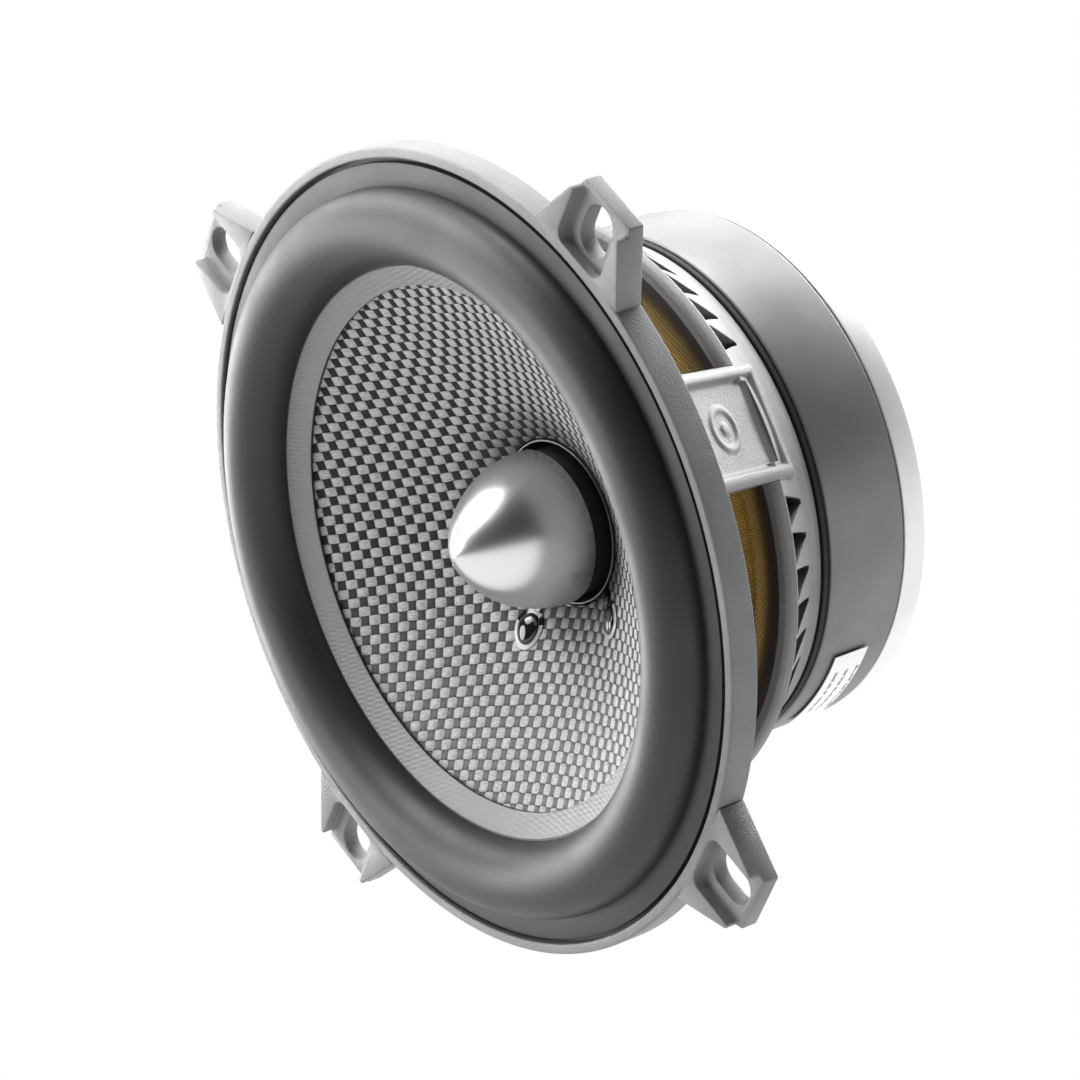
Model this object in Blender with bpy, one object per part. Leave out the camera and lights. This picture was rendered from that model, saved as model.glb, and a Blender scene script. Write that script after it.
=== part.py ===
"""Car loudspeaker driver, nominal 130 mm: a cast basket with a woven cone, a fixed
bullet phase plug and a ferrite motor.

Axes: the driver's axis is Y, the cone looks towards -Y and +Z is up.
Origin: on the axis, in the mounting plane, which is the rear face of the flange.
Units: the constants are millimetres, and MM turns them into Blender's metres.
"""
import math

import bmesh
import bpy
from mathutils import Vector

MM = 0.001
GAP = 0.3                     # clearance left between neighbouring pieces

# Facets of the turned pieces: the large rims, the motor, and the coil and its pole
RIM_STEPS = 64
TURN_STEPS = 48
COIL_STEPS = 32

# Basket: flange
FLANGE_R = 65.0
FLANGE_T = 5.0
FLANGE_INNER_R = 57.5
SEAT_R = 63.3                 # wall of the recess that takes the surround's lip
SEAT_Y = -3.1
RIM_CHAMFER = 0.4

# Basket: four ears with an open-ended screw pocket
EAR_ANGLES = (45.0, 135.0, 225.0, 315.0)
EAR_ROOT = (11.1, 63.45)      # half width, distance from the axis
EAR_END = (5.6, 75.9)
ARM_END = 74.5                # the pocket's arms stop short of the ear's end
POCKET_HALF = 5.3
POCKET_START = 65.1
POCKET_FLOOR_Y = -2.9
POCKET_CORNER = 2.0
SLOT_R = 3.0
SLOT_FROM = 68.8              # centres of the slot's two round ends
SLOT_TO = 71.6

# Basket: four spokes, each a flat plate with a raised frame
SPOKE_ANGLES = (17.5, 107.5, 197.5, 287.5)
SPOKE_HALF = 9.5
SPOKE_FRONT = (60.1, -1.0)    # radius, y of the plate's outer face inside the flange
SPOKE_REAR = (45.6, 27.5)
SPOKE_INNER = ((42.0, 27.5), (43.6, 23.0), (46.9, 22.6), (56.5, -1.0))   # clear of the spider
PANEL_HALF = 6.95
PANEL_SLOPE = 1.45
PANEL_DEPTH = 1.2
PANEL_REAR_Y = 24.4
PANEL_SLOPE_REAR = 2.2

# Basket: rear cup, from the spider ledge to the rim around the top plate
CUP_PROFILE = (
    (46.3, 20.5), (47.6, 20.5), (48.4, 21.4), (48.4, 22.5), (43.5, 29.3),
    (41.9, 33.1), (40.3, 33.1), (40.3, 30.9), (16.2, 30.9), (16.2, 28.7),
    (39.4, 28.7), (43.2, 23.4), (42.8, 21.9), (46.3, 21.9),
)
LEDGE_Y = 21.9
CUP_PLATE_FRONT_Y = 28.7
CUP_PLATE_REAR_Y = 30.9
CUP_RIM_Y = 33.1

# Basket: triangular vents in the cup's sloping wall, nine in each window
VENT_PITCH = 90.0 / 13
VENTS_PER_WINDOW = 9
VENT_BASE_Y = 22.9
VENT_TIP_Y = 28.6
VENT_BASE_HALF = 2.95         # half widths in degrees
VENT_TIP_HALF = 0.35
VENT_R = (39.7, 52.0)

# Basket: pad for the terminal board, in the window at the lower left
TERMINAL_ANGLE = 242.5
PAD_SIZE = (12.0, 4.2)        # tangential, along y
PAD_R = (46.6, 50.6)
PAD_Y = 21.5

# Motor
MOTOR_SCREW_ANGLES = (62.5, 152.5, 242.5, 332.5)
MOTOR_SCREW_PCR = 30.0
MOTOR_SCREW_R = 1.5
MOTOR_SCREW_HEAD_R = 2.9
MOTOR_SCREW_HEAD_T = 2.0
MOTOR_SCREW_HOLE_R = 1.9
TOP_PLATE_R = 42.2
TOP_PLATE_STEP_R = 39.9
TOP_PLATE_BORE_R = 14.8
TOP_PLATE_FRONT_Y = CUP_PLATE_REAR_Y + GAP
TOP_PLATE_STEP_Y = CUP_RIM_Y + GAP
MAGNET_R = 42.5
MAGNET_BORE_R = 21.0
MAGNET_Y = (34.65, 49.75)
BACK_PLATE_Y = (MAGNET_Y[1] + GAP, 55.0)
POLE_R = 12.6
POLE_FRONT_Y = 30.5
BOLT_R = 2.0
BOLT_BORE_R = 2.4
BOLT_HEAD_R = 3.8
BOLT_HEAD_T = 3.0
COUNTERBORE = (4.4, 3.6)      # radius, depth

# Phase plug: a tangent ogive on a plain spacer
PLUG_R = 12.6
PLUG_TIP_Y = -6.0
PLUG_BASE_Y = 12.2
PLUG_STEPS = 7
PLUG_BORE_DEPTH = 8.0
SPACER_R = 12.0

# Cone and surround
CONE_NECK = (13.8, 15.3)      # radius, y of the front face at the neck
CONE_EDGE = (46.0, -3.2)
CONE_T = 0.9                  # measured along y
LIP_OUTER_R = 62.6
ROLL_R = (46.5, 59.0)         # inner and outer foot of the half roll
ROLL_HEIGHT = 5.8
ROLL_STEPS = 8
SURROUND_T = 0.7
INNER_LIP_R = 42.6
INNER_LIP_Y = -2.0            # front of the lip's inner edge
ROLL_FOOT_Y = -4.2            # front of the roll's inner foot
FLANGE_FRONT_Y = -FLANGE_T

# Spider
SPIDER_R = (13.8, 46.0)
SPIDER_FLAT_R = 43.2
SPIDER_NECK_R = 15.4
SPIDER_ROLLS = 5
SPIDER_WAVE = 1.1
SPIDER_T = 0.5
SPIDER_Y = LEDGE_Y - GAP - SPIDER_T

# Voice coil
FORMER_R = (13.15, 13.45)
FORMER_Y = (15.0, 38.0)
WINDING_R = (13.75, 14.3)
WINDING_Y = (27.5, 37.5)
NECK_GLUE = ((13.8, 16.9), (16.6, 15.3), (13.8, 19.2))
LEAD_SIDES = (("positive", 310.0), ("negative", 240.0))
LEAD_R = 19.5
EYELET_R = 1.5
EYELET_T = 0.8
DROP_HALF = (2.6, 1.7, 0.9)   # along the strip, across it, height
STRIP_SIZE = (2.6, 1.1, 0.3)

# Terminals and leads
BOARD_SIZE = (25.0, 14.0, 1.6)   # tangential, along y, thickness
BOARD_R = PAD_R[1] + GAP
BOARD_Y = 17.0
RIVET_R = 1.3
RIVET_SIDES = (-3.5, 3.5)
RIVET_HEAD_R = 2.3
TAB_T = 0.8
TAB_OFFSET = 8.0
TAB_WIDTHS = (6.3, 4.8)
TAB_RISE = 8.0
TAB_FOOT_Y = (13.5, 18.5)
LEAD_WIRE_R = 0.6

# Label on the magnet
LABEL_ANGLES = (-66.0, -40.5)
LABEL_Y = (38.3, 45.1)
LABEL_T = 0.2
LABEL_STEPS = 8


def clear_scene():
    for old in list(bpy.data.objects):
        bpy.data.objects.remove(old, do_unlink=True)


def make_material(name, colour, roughness, metallic=0.0):
    material = bpy.data.materials.new(name)
    material.use_nodes = True
    shader = material.node_tree.nodes["Principled BSDF"]
    shader.inputs["Base Color"].default_value = (*colour, 1.0)
    shader.inputs["Roughness"].default_value = roughness
    shader.inputs["Metallic"].default_value = metallic
    material.diffuse_color = (*colour, 1.0)
    return material


def polar(angle, radius, y, side=0.0):
    """A point at a radius and height y in the direction of angle, moved sideways."""
    a = math.radians(angle)
    out = Vector((math.cos(a), 0.0, math.sin(a)))
    across = Vector((-math.sin(a), 0.0, math.cos(a)))
    return (out * radius + across * side + Vector((0.0, y, 0.0))) * MM


def add_object(name, bm, material, parent=None):
    """Turn a bmesh into an object with outward faces."""
    bmesh.ops.recalc_face_normals(bm, faces=bm.faces[:])
    mesh = bpy.data.meshes.new(name)
    bm.to_mesh(mesh)
    bm.free()
    mesh.shade_smooth()
    mesh.set_sharp_from_angle(angle=math.radians(30))
    mesh.materials.append(material)
    part = bpy.data.objects.new(name, mesh)
    bpy.context.scene.collection.objects.link(part)
    part.parent = parent
    return part


def spin_profile(bm, profile, steps):
    """Turn a profile of (radius, y) points about the Y axis.

    A profile that starts and ends on the axis stays open, and any other one closes.
    """
    points = [bm.verts.new((r * MM, y * MM, 0.0)) for r, y in profile]
    edges = [bm.edges.new(pair) for pair in zip(points, points[1:])]
    if profile[0][0] > 0.0:
        edges.append(bm.edges.new((points[-1], points[0])))
    bmesh.ops.spin(
        bm, geom=points + edges, cent=(0, 0, 0), axis=(0, 1, 0),
        angle=math.tau, steps=steps, use_merge=True,
    )
    bmesh.ops.remove_doubles(bm, verts=bm.verts[:], dist=1e-7)


def turned(name, profile, material, steps=TURN_STEPS, parent=None):
    bm = bmesh.new()
    spin_profile(bm, profile, steps)
    return add_object(name, bm, material, parent)


def tube_profile(inner, outer, y_from, y_to, chamfer=0.0):
    """Profile of a plain ring with an optional chamfer on its outer edges."""
    return (
        (inner, y_from), (outer - chamfer, y_from), (outer, y_from + chamfer),
        (outer, y_to - chamfer), (outer - chamfer, y_to), (inner, y_to),
    ) if chamfer else ((inner, y_from), (outer, y_from), (outer, y_to), (inner, y_to))


def add_prism(bm, outline, travel):
    """Extrude a flat outline of points along a vector, closed at both ends."""
    base = bm.faces.new([bm.verts.new(p) for p in outline])
    top = bmesh.ops.extrude_face_region(bm, geom=[base])["geom"]
    moved = [v for v in top if isinstance(v, bmesh.types.BMVert)]
    bmesh.ops.translate(bm, verts=moved, vec=travel)


def add_loft(bm, ring_a, ring_b):
    """Join two rings of the same number of points into one closed body."""
    a = [bm.verts.new(p) for p in ring_a]
    b = [bm.verts.new(p) for p in ring_b]
    bm.faces.new(a)
    bm.faces.new(list(reversed(b)))
    for i in range(len(a)):
        j = (i + 1) % len(a)
        bm.faces.new((a[j], a[i], b[i], b[j]))


def add_cylinder(bm, centre, direction, radius, length, steps=16):
    """A solid cylinder from centre along direction. Lengths in millimetres."""
    turn = direction.to_track_quat("Z", "Y")
    rim = [
        centre + turn @ Vector((math.cos(k * math.tau / steps), math.sin(k * math.tau / steps), 0))
        * radius * MM
        for k in range(steps)
    ]
    add_prism(bm, rim, direction.normalized() * length * MM)


def arc(centre_x, centre_y, radius, start, end, steps):
    """Points on an arc, in the outline's own two coordinates."""
    return [
        (
            centre_x + radius * math.cos(math.radians(start + (end - start) * k / steps)),
            centre_y + radius * math.sin(math.radians(start + (end - start) * k / steps)),
        )
        for k in range(steps + 1)
    ]


def combine(target, tool, operation):
    """Apply a tool object to the target with an exact boolean modifier."""
    modifier = target.modifiers.new(tool.name, "BOOLEAN")
    modifier.operation = operation
    modifier.solver = "EXACT"
    modifier.object = tool
    tool.hide_render = True
    tool.display_type = "WIRE"


# ---------------------------------------------------------------- basket

def spoke_outer_r(y):
    """Radius of a spoke plate's outer face at height y."""
    (r0, y0), (r1, y1) = SPOKE_FRONT, SPOKE_REAR
    return r0 + (r1 - r0) * (y - y0) / (y1 - y0)


def flange_profile():
    return (
        (SEAT_R, FLANGE_FRONT_Y), (FLANGE_R - RIM_CHAMFER, FLANGE_FRONT_Y),
        (FLANGE_R, FLANGE_FRONT_Y + RIM_CHAMFER), (FLANGE_R, 0.0),
        (FLANGE_INNER_R, 0.0), (FLANGE_INNER_R, SEAT_Y), (SEAT_R, SEAT_Y),
    )


def ear_bodies():
    bm = bmesh.new()
    outline = (
        (-EAR_ROOT[0], EAR_ROOT[1]), (EAR_ROOT[0], EAR_ROOT[1]),
        (EAR_END[0], EAR_END[1]), (-EAR_END[0], EAR_END[1]),
    )
    for angle in EAR_ANGLES:
        ring = [polar(angle, v, FLANGE_FRONT_Y, u) for u, v in outline]
        add_prism(bm, ring, Vector((0, FLANGE_T * MM, 0)))
    return bm


def pocket_cutters():
    """The screw pocket of each ear, which widens past the ends of its arms."""
    inner = POCKET_START + POCKET_CORNER
    left = arc(-POCKET_HALF + POCKET_CORNER, inner, POCKET_CORNER, 180, 270, 4)
    right = arc(POCKET_HALF - POCKET_CORNER, inner, POCKET_CORNER, 270, 360, 4)
    far = EAR_END[1] + 2.0
    wide = EAR_ROOT[0]
    outline = left + right + [
        (POCKET_HALF, ARM_END), (wide, ARM_END), (wide, far),
        (-wide, far), (-wide, ARM_END), (-POCKET_HALF, ARM_END),
    ]
    bm = bmesh.new()
    for angle in EAR_ANGLES:
        ring = [polar(angle, v, FLANGE_FRONT_Y - 1.0, u) for u, v in outline]
        add_prism(bm, ring, Vector((0, (POCKET_FLOOR_Y - FLANGE_FRONT_Y + 1.0) * MM, 0)))
    return bm


def slot_cutters():
    outline = arc(0, SLOT_TO, SLOT_R, 0, 180, 8) + arc(0, SLOT_FROM, SLOT_R, 180, 360, 8)
    bm = bmesh.new()
    for angle in EAR_ANGLES:
        ring = [polar(angle, v, FLANGE_FRONT_Y - 1.0, u) for u, v in outline]
        add_prism(bm, ring, Vector((0, (FLANGE_T + 2.0) * MM, 0)))
    return bm


def spoke_bodies():
    bm = bmesh.new()
    for angle in SPOKE_ANGLES:
        section = (SPOKE_FRONT, SPOKE_REAR, *SPOKE_INNER)
        ring = [polar(angle, r, y, -SPOKE_HALF) for r, y in section]
        across = polar(angle, 0, 0, 2 * SPOKE_HALF)
        add_prism(bm, ring, across)
    return bm


def panel_cutters():
    """The sunk panel of each spoke: its floor, and sloping sides up to the frame."""
    bm = bmesh.new()
    front_y = 0.6
    for angle in SPOKE_ANGLES:
        def ring(half, rear_y, depth):
            lift = -depth
            return [
                polar(angle, spoke_outer_r(y) + lift, y, side)
                for y, side in ((front_y, -half), (front_y, half), (rear_y, half), (rear_y, -half))
            ]
        above = 1.0
        slope = PANEL_SLOPE * above / PANEL_DEPTH
        slope_rear = PANEL_SLOPE_REAR * above / PANEL_DEPTH
        add_loft(
            bm,
            ring(PANEL_HALF, PANEL_REAR_Y, PANEL_DEPTH),
            ring(PANEL_HALF + PANEL_SLOPE + slope,
                 PANEL_REAR_Y + PANEL_SLOPE_REAR + slope_rear, -above),
        )
    return bm


def vent_cutters():
    """Triangular holes with their base along the band and their tip at the rear."""
    bm = bmesh.new()
    first = -(VENTS_PER_WINDOW - 1) / 2
    for angle in SPOKE_ANGLES:
        for k in range(VENTS_PER_WINDOW):
            middle = angle + 45.0 + (first + k) * VENT_PITCH
            if abs(middle - TERMINAL_ANGLE) < VENT_PITCH * 1.5:
                continue
            rings = [
                [
                    polar(middle - VENT_BASE_HALF, r, VENT_BASE_Y),
                    polar(middle + VENT_BASE_HALF, r, VENT_BASE_Y),
                    polar(middle + VENT_TIP_HALF, r, VENT_TIP_Y),
                    polar(middle - VENT_TIP_HALF, r, VENT_TIP_Y),
                ]
                for r in VENT_R
            ]
            add_loft(bm, rings[0], rings[1])
    return bm


def terminal_pad():
    half, long = PAD_SIZE[0] / 2, PAD_SIZE[1] / 2
    corners = [(-half, PAD_Y - long), (half, PAD_Y - long), (half, PAD_Y + long), (-half, PAD_Y + long)]
    bm = bmesh.new()
    ring = [polar(TERMINAL_ANGLE, PAD_R[0], y, side) for side, y in corners]
    add_prism(bm, ring, polar(TERMINAL_ANGLE, PAD_R[1] - PAD_R[0], 0))
    return bm


def screw_holes(radius, y_from, y_to):
    bm = bmesh.new()
    for angle in MOTOR_SCREW_ANGLES:
        centre = polar(angle, MOTOR_SCREW_PCR, y_from)
        add_cylinder(bm, centre, Vector((0, 1, 0)), radius, y_to - y_from, 12)
    return bm


def rivet_holes():
    bm = bmesh.new()
    for side in RIVET_SIDES:
        centre = polar(TERMINAL_ANGLE, PAD_R[0] - 2.0, PAD_Y, side)
        add_cylinder(bm, centre, polar(TERMINAL_ANGLE, 1, 0), RIVET_R + GAP, 12.0, 12)
    return bm


def make_basket(paint, guide):
    basket = turned("basket", flange_profile(), paint, RIM_STEPS)
    cup = turned("cup_body", CUP_PROFILE, guide, RIM_STEPS)
    combine(basket, add_object("spoke_bodies", spoke_bodies(), guide), "UNION")
    combine(basket, cup, "UNION")
    combine(basket, add_object("ear_bodies", ear_bodies(), guide), "UNION")
    combine(basket, add_object("terminal_pad", terminal_pad(), guide), "UNION")
    combine(basket, add_object("pocket_cutters", pocket_cutters(), guide), "DIFFERENCE")
    combine(basket, add_object("slot_cutters", slot_cutters(), guide), "DIFFERENCE")
    combine(basket, add_object("panel_cutters", panel_cutters(), guide), "DIFFERENCE")
    combine(basket, add_object("vent_cutters", vent_cutters(), guide), "DIFFERENCE")
    combine(basket, add_object("rivet_holes", rivet_holes(), guide), "DIFFERENCE")
    holes = screw_holes(MOTOR_SCREW_HOLE_R, CUP_PLATE_FRONT_Y - 1, CUP_PLATE_REAR_Y + 1)
    combine(basket, add_object("cup_screw_holes", holes, guide), "DIFFERENCE")
    return basket


# ---------------------------------------------------------------- motor

def make_motor(black_steel, ferrite, zinc, guide):
    top = turned("top_plate", (
        (TOP_PLATE_BORE_R, TOP_PLATE_FRONT_Y), (TOP_PLATE_STEP_R, TOP_PLATE_FRONT_Y),
        (TOP_PLATE_STEP_R, TOP_PLATE_STEP_Y), (TOP_PLATE_R, TOP_PLATE_STEP_Y),
        (TOP_PLATE_R, MAGNET_Y[0] - GAP), (TOP_PLATE_BORE_R, MAGNET_Y[0] - GAP),
    ), black_steel)
    holes = screw_holes(MOTOR_SCREW_HOLE_R, TOP_PLATE_FRONT_Y - 1, MAGNET_Y[0])
    combine(top, add_object("plate_screw_holes", holes, guide), "DIFFERENCE")

    turned("magnet", tube_profile(MAGNET_BORE_R, MAGNET_R, *MAGNET_Y, chamfer=0.5), ferrite)
    turned("back_plate", tube_profile(POLE_R + GAP, MAGNET_R, *BACK_PLATE_Y, chamfer=0.8), zinc)
    bore, depth = COUNTERBORE
    rear = BACK_PLATE_Y[1]
    turned("pole_piece", (
        (BOLT_BORE_R, POLE_FRONT_Y), (POLE_R - 0.5, POLE_FRONT_Y), (POLE_R, POLE_FRONT_Y + 0.5),
        (POLE_R, rear), (bore, rear), (bore, rear - depth), (BOLT_BORE_R, rear - depth),
    ), zinc, COIL_STEPS)

    head_y = CUP_PLATE_FRONT_Y - GAP - MOTOR_SCREW_HEAD_T
    shank_end = MAGNET_Y[0] - GAP - 0.2
    seat_y = head_y + MOTOR_SCREW_HEAD_T
    profile = (
        (0.0, head_y), (MOTOR_SCREW_HEAD_R - 0.6, head_y), (MOTOR_SCREW_HEAD_R, head_y + 0.6),
        (MOTOR_SCREW_HEAD_R, seat_y), (MOTOR_SCREW_R, seat_y), (MOTOR_SCREW_R, shank_end),
        (0.0, shank_end),
    )
    for number, angle in enumerate(MOTOR_SCREW_ANGLES, 1):
        screw = turned(f"motor_screw_{number}", profile, zinc, 12)
        screw.location = polar(angle, MOTOR_SCREW_PCR, 0)


def plug_radius(y):
    """Tangent ogive: a circular arc that meets the plug's base square on."""
    length = PLUG_BASE_Y - PLUG_TIP_Y
    arc_r = (length ** 2 + PLUG_R ** 2) / (2 * PLUG_R)
    return math.sqrt(max(arc_r ** 2 - (PLUG_BASE_Y - y) ** 2, 0.0)) - (arc_r - PLUG_R)


def make_phase_plug(chrome, black, steel):
    length = PLUG_BASE_Y - PLUG_TIP_Y
    nose = [(0.0, PLUG_TIP_Y)]
    for k in range(1, PLUG_STEPS + 1):
        y = PLUG_TIP_Y + length * (k / PLUG_STEPS) ** 1.6
        nose.append((plug_radius(y), y))
    bore_end = PLUG_BASE_Y - PLUG_BORE_DEPTH
    bore = [(BOLT_BORE_R, PLUG_BASE_Y), (BOLT_BORE_R, bore_end), (0.0, bore_end)]
    turned("phase_plug", nose + bore, chrome, COIL_STEPS)

    spacer_front = PLUG_BASE_Y + GAP
    spacer_rear = POLE_FRONT_Y - GAP
    turned("plug_spacer", tube_profile(BOLT_BORE_R, SPACER_R, spacer_front, spacer_rear), black, COIL_STEPS)

    seat_y = BACK_PLATE_Y[1] - COUNTERBORE[1] + GAP
    turned("plug_bolt", (
        (0.0, bore_end + 1.0), (BOLT_R, bore_end + 1.0), (BOLT_R, seat_y), (BOLT_HEAD_R, seat_y),
        (BOLT_HEAD_R, seat_y + BOLT_HEAD_T), (0.0, seat_y + BOLT_HEAD_T),
    ), steel, 16)


# ---------------------------------------------------------------- soft parts

def roll_arc(rise, inner_foot_y, shift):
    """Half ellipse from the outer foot over the crest to the inner foot."""
    middle = sum(ROLL_R) / 2
    half = (ROLL_R[1] - ROLL_R[0]) / 2 - shift
    points = []
    for k in range(ROLL_STEPS + 1):
        t = math.pi * k / ROLL_STEPS
        share = k / ROLL_STEPS
        foot = (FLANGE_FRONT_Y + shift) * (1 - share) + inner_foot_y * share
        points.append((middle + half * math.cos(t), foot - rise * math.sin(t)))
    return points


def make_surround(rubber):
    lip_back = SEAT_Y - GAP
    front = roll_arc(ROLL_HEIGHT, ROLL_FOOT_Y, 0.0)
    back = roll_arc(ROLL_HEIGHT - SURROUND_T + 0.2, ROLL_FOOT_Y + 0.4, SURROUND_T)
    profile = [(LIP_OUTER_R, FLANGE_FRONT_Y)] + front
    profile += [(INNER_LIP_R, INNER_LIP_Y), (INNER_LIP_R, INNER_LIP_Y + 0.6)]
    profile += [(ROLL_R[0] + 0.1, ROLL_FOOT_Y + 0.6)] + list(reversed(back))
    profile += [(ROLL_R[1] - SURROUND_T, lip_back), (LIP_OUTER_R, lip_back)]
    turned("surround", profile, rubber, TURN_STEPS)


def make_spider(cloth):
    """Corrugated disc between the voice coil former and the basket's ledge."""
    crests = SPIDER_ROLLS * 2
    line = [(SPIDER_R[0], SPIDER_Y), (SPIDER_NECK_R, SPIDER_Y)]
    for k in range(crests):
        r = SPIDER_NECK_R + (SPIDER_FLAT_R - SPIDER_NECK_R) * (k + 0.5) / crests
        line.append((r, SPIDER_Y + SPIDER_WAVE * (-1) ** k))
    line += [(SPIDER_FLAT_R, SPIDER_Y), (SPIDER_R[1], SPIDER_Y)]
    back = [(r, y + SPIDER_T) for r, y in reversed(line)]
    turned("spider", line + back, cloth)


# ---------------------------------------------------------------- moving parts

def cone_front_y(r):
    (r0, y0), (r1, y1) = CONE_NECK, CONE_EDGE
    return y0 + (y1 - y0) * (r - r0) / (r1 - r0)


def cone_frame(angle, radius):
    """Point on the cone's front face, with its outward, sideways and normal vectors."""
    point = polar(angle, radius, cone_front_y(radius))
    along = (polar(angle, radius + 1, cone_front_y(radius + 1)) - point).normalized()
    side = polar(angle, 0, 0, 1).normalized()
    normal = side.cross(along)
    if normal.y > 0:
        normal = -normal
    return point, along, side, normal


def make_moving_parts(cloth, former_paper, copper, glue, solder, axis):
    (r0, y0), (r1, y1) = CONE_NECK, CONE_EDGE
    turned("cone", ((r0, y0), (r1, y1), (r1, y1 + CONE_T), (r0, y0 + CONE_T)), cloth, RIM_STEPS, axis)
    turned("voice_coil_former", tube_profile(*FORMER_R, *FORMER_Y), former_paper, COIL_STEPS, axis)
    turned("voice_coil_winding", tube_profile(*WINDING_R, *WINDING_Y), copper, COIL_STEPS, axis)
    turned("neck_glue_ring", NECK_GLUE, glue, COIL_STEPS, axis)

    for side_name, angle in LEAD_SIDES:
        point, along, side, normal = cone_frame(angle, LEAD_R)
        drop = bmesh.new()
        add_dome(drop, point + normal * GAP * MM, along, side, normal)
        add_object(f"glue_drop_{side_name}", drop, glue, axis)
        start, along, side, normal = cone_frame(angle, CONE_NECK[0] + 0.2)
        strip = bmesh.new()
        add_strip(strip, start + normal * GAP * MM, along, side, normal)
        add_object(f"coil_lead_{side_name}", strip, copper, axis)
        eyelet = bmesh.new()
        back = point - normal * (CONE_T + GAP) * MM
        add_cylinder(eyelet, back, -normal, EYELET_R, EYELET_T, 12)
        add_object(f"lead_eyelet_{side_name}", eyelet, solder, axis)


def add_dome(bm, base, along, side, normal):
    """A flat-bottomed oval drop of glue."""
    length, width, height = (v * MM for v in DROP_HALF)
    rings = []
    for level, scale in ((0.0, 1.0), (0.6, 0.8), (1.0, 0.35)):
        rings.append([
            base + along * length * scale * math.cos(k * math.tau / 12)
            + side * width * scale * math.sin(k * math.tau / 12) + normal * height * level
            for k in range(12)
        ])
    layers = [[bm.verts.new(p) for p in ring] for ring in rings]
    bm.faces.new(layers[0])
    bm.faces.new(list(reversed(layers[-1])))
    for low, high in zip(layers, layers[1:]):
        for i in range(12):
            j = (i + 1) % 12
            bm.faces.new((low[j], low[i], high[i], high[j]))


def add_strip(bm, start, along, side, normal):
    """A flat ribbon of lead-out wire from the neck towards its glue drop."""
    length, width, thick = (v * MM for v in STRIP_SIZE)
    ring = [
        start + side * width / 2, start - side * width / 2,
        start - side * width / 2 + normal * thick, start + side * width / 2 + normal * thick,
    ]
    add_prism(bm, ring, along * length)


# ---------------------------------------------------------------- terminals

def board_point(side, y, lift=0.0):
    """A point on the terminal board's outer face, lifted outward."""
    return polar(TERMINAL_ANGLE, BOARD_R + BOARD_SIZE[2] + lift, y, side)


def make_terminals(phenolic, brass, steel, guide):
    half, long = BOARD_SIZE[0] / 2, BOARD_SIZE[1] / 2
    corners = [(-half, BOARD_Y - long), (half, BOARD_Y - long), (half, BOARD_Y + long), (-half, BOARD_Y + long)]
    out = polar(TERMINAL_ANGLE, 1, 0).normalized()
    bm = bmesh.new()
    add_prism(bm, [polar(TERMINAL_ANGLE, BOARD_R, y, s) for s, y in corners], out * BOARD_SIZE[2] * MM)
    board = add_object("terminal_board", bm, phenolic)
    combine(board, bpy.data.objects["rivet_holes"], "DIFFERENCE")

    shank_start = BOARD_R + BOARD_SIZE[2] + GAP + 0.8
    depth = shank_start - PAD_R[0] + 0.5
    profile = (
        (0.0, 0.0), (RIVET_HEAD_R, 0.0), (RIVET_HEAD_R, 0.8), (RIVET_R, 0.8), (RIVET_R, depth),
        (0.0, depth),
    )
    for number, side in enumerate(RIVET_SIDES, 1):
        rivet = turned(f"terminal_rivet_{number}", profile, steel, 12)
        rivet.rotation_mode = "QUATERNION"
        rivet.rotation_quaternion = Vector((0, 1, 0)).rotation_difference(-out)
        rivet.location = polar(TERMINAL_ANGLE, shank_start, PAD_Y, side)

    for name, offset, width in (
        ("positive_tab", TAB_OFFSET, TAB_WIDTHS[0]),
        ("negative_tab", -TAB_OFFSET, TAB_WIDTHS[1]),
    ):
        bm = bmesh.new()
        foot, rear = TAB_FOOT_Y
        section = [
            (foot, GAP), (rear, GAP), (rear, GAP + TAB_T), (foot + TAB_T, GAP + TAB_T),
            (foot + TAB_T, TAB_RISE), (foot, TAB_RISE),
        ]
        ring = [board_point(offset - width / 2, y, lift) for y, lift in section]
        add_prism(bm, ring, polar(TERMINAL_ANGLE, 0, 0, width))
        add_object(name, bm, brass)


def smooth_route(points, per_span):
    """Points on a Catmull-Rom curve through the given ones."""
    spots = [points[0] * 2 - points[1], *points, points[-1] * 2 - points[-2]]
    route = []
    for a, b, c, d in zip(spots, spots[1:], spots[2:], spots[3:]):
        for k in range(per_span):
            t = k / per_span
            route.append(0.5 * (
                2 * b + (c - a) * t + (2 * a - 5 * b + 4 * c - d) * t ** 2
                + (3 * b - a - 3 * c + d) * t ** 3
            ))
    return route + [points[-1]]


def lead_route(eyelet_angle, board_side):
    """From the terminal board's inner face, in a slack bow, to the cone's rear."""
    inner_face = BOARD_R - GAP - LEAD_WIRE_R
    point, _, _, normal = cone_frame(eyelet_angle, LEAD_R)
    end = point - normal * (CONE_T + GAP + EYELET_T + GAP + LEAD_WIRE_R) * MM
    middle_angle = TERMINAL_ANGLE + math.degrees(board_side / inner_face)
    return [
        polar(TERMINAL_ANGLE, inner_face, 14.0, board_side),
        polar(middle_angle, 43.0, 13.6),
        polar(middle_angle + (eyelet_angle - middle_angle) * 0.35, 34.0, 15.0),
        polar(middle_angle + (eyelet_angle - middle_angle) * 0.75, 25.5, 15.3),
        end,
    ]


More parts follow.
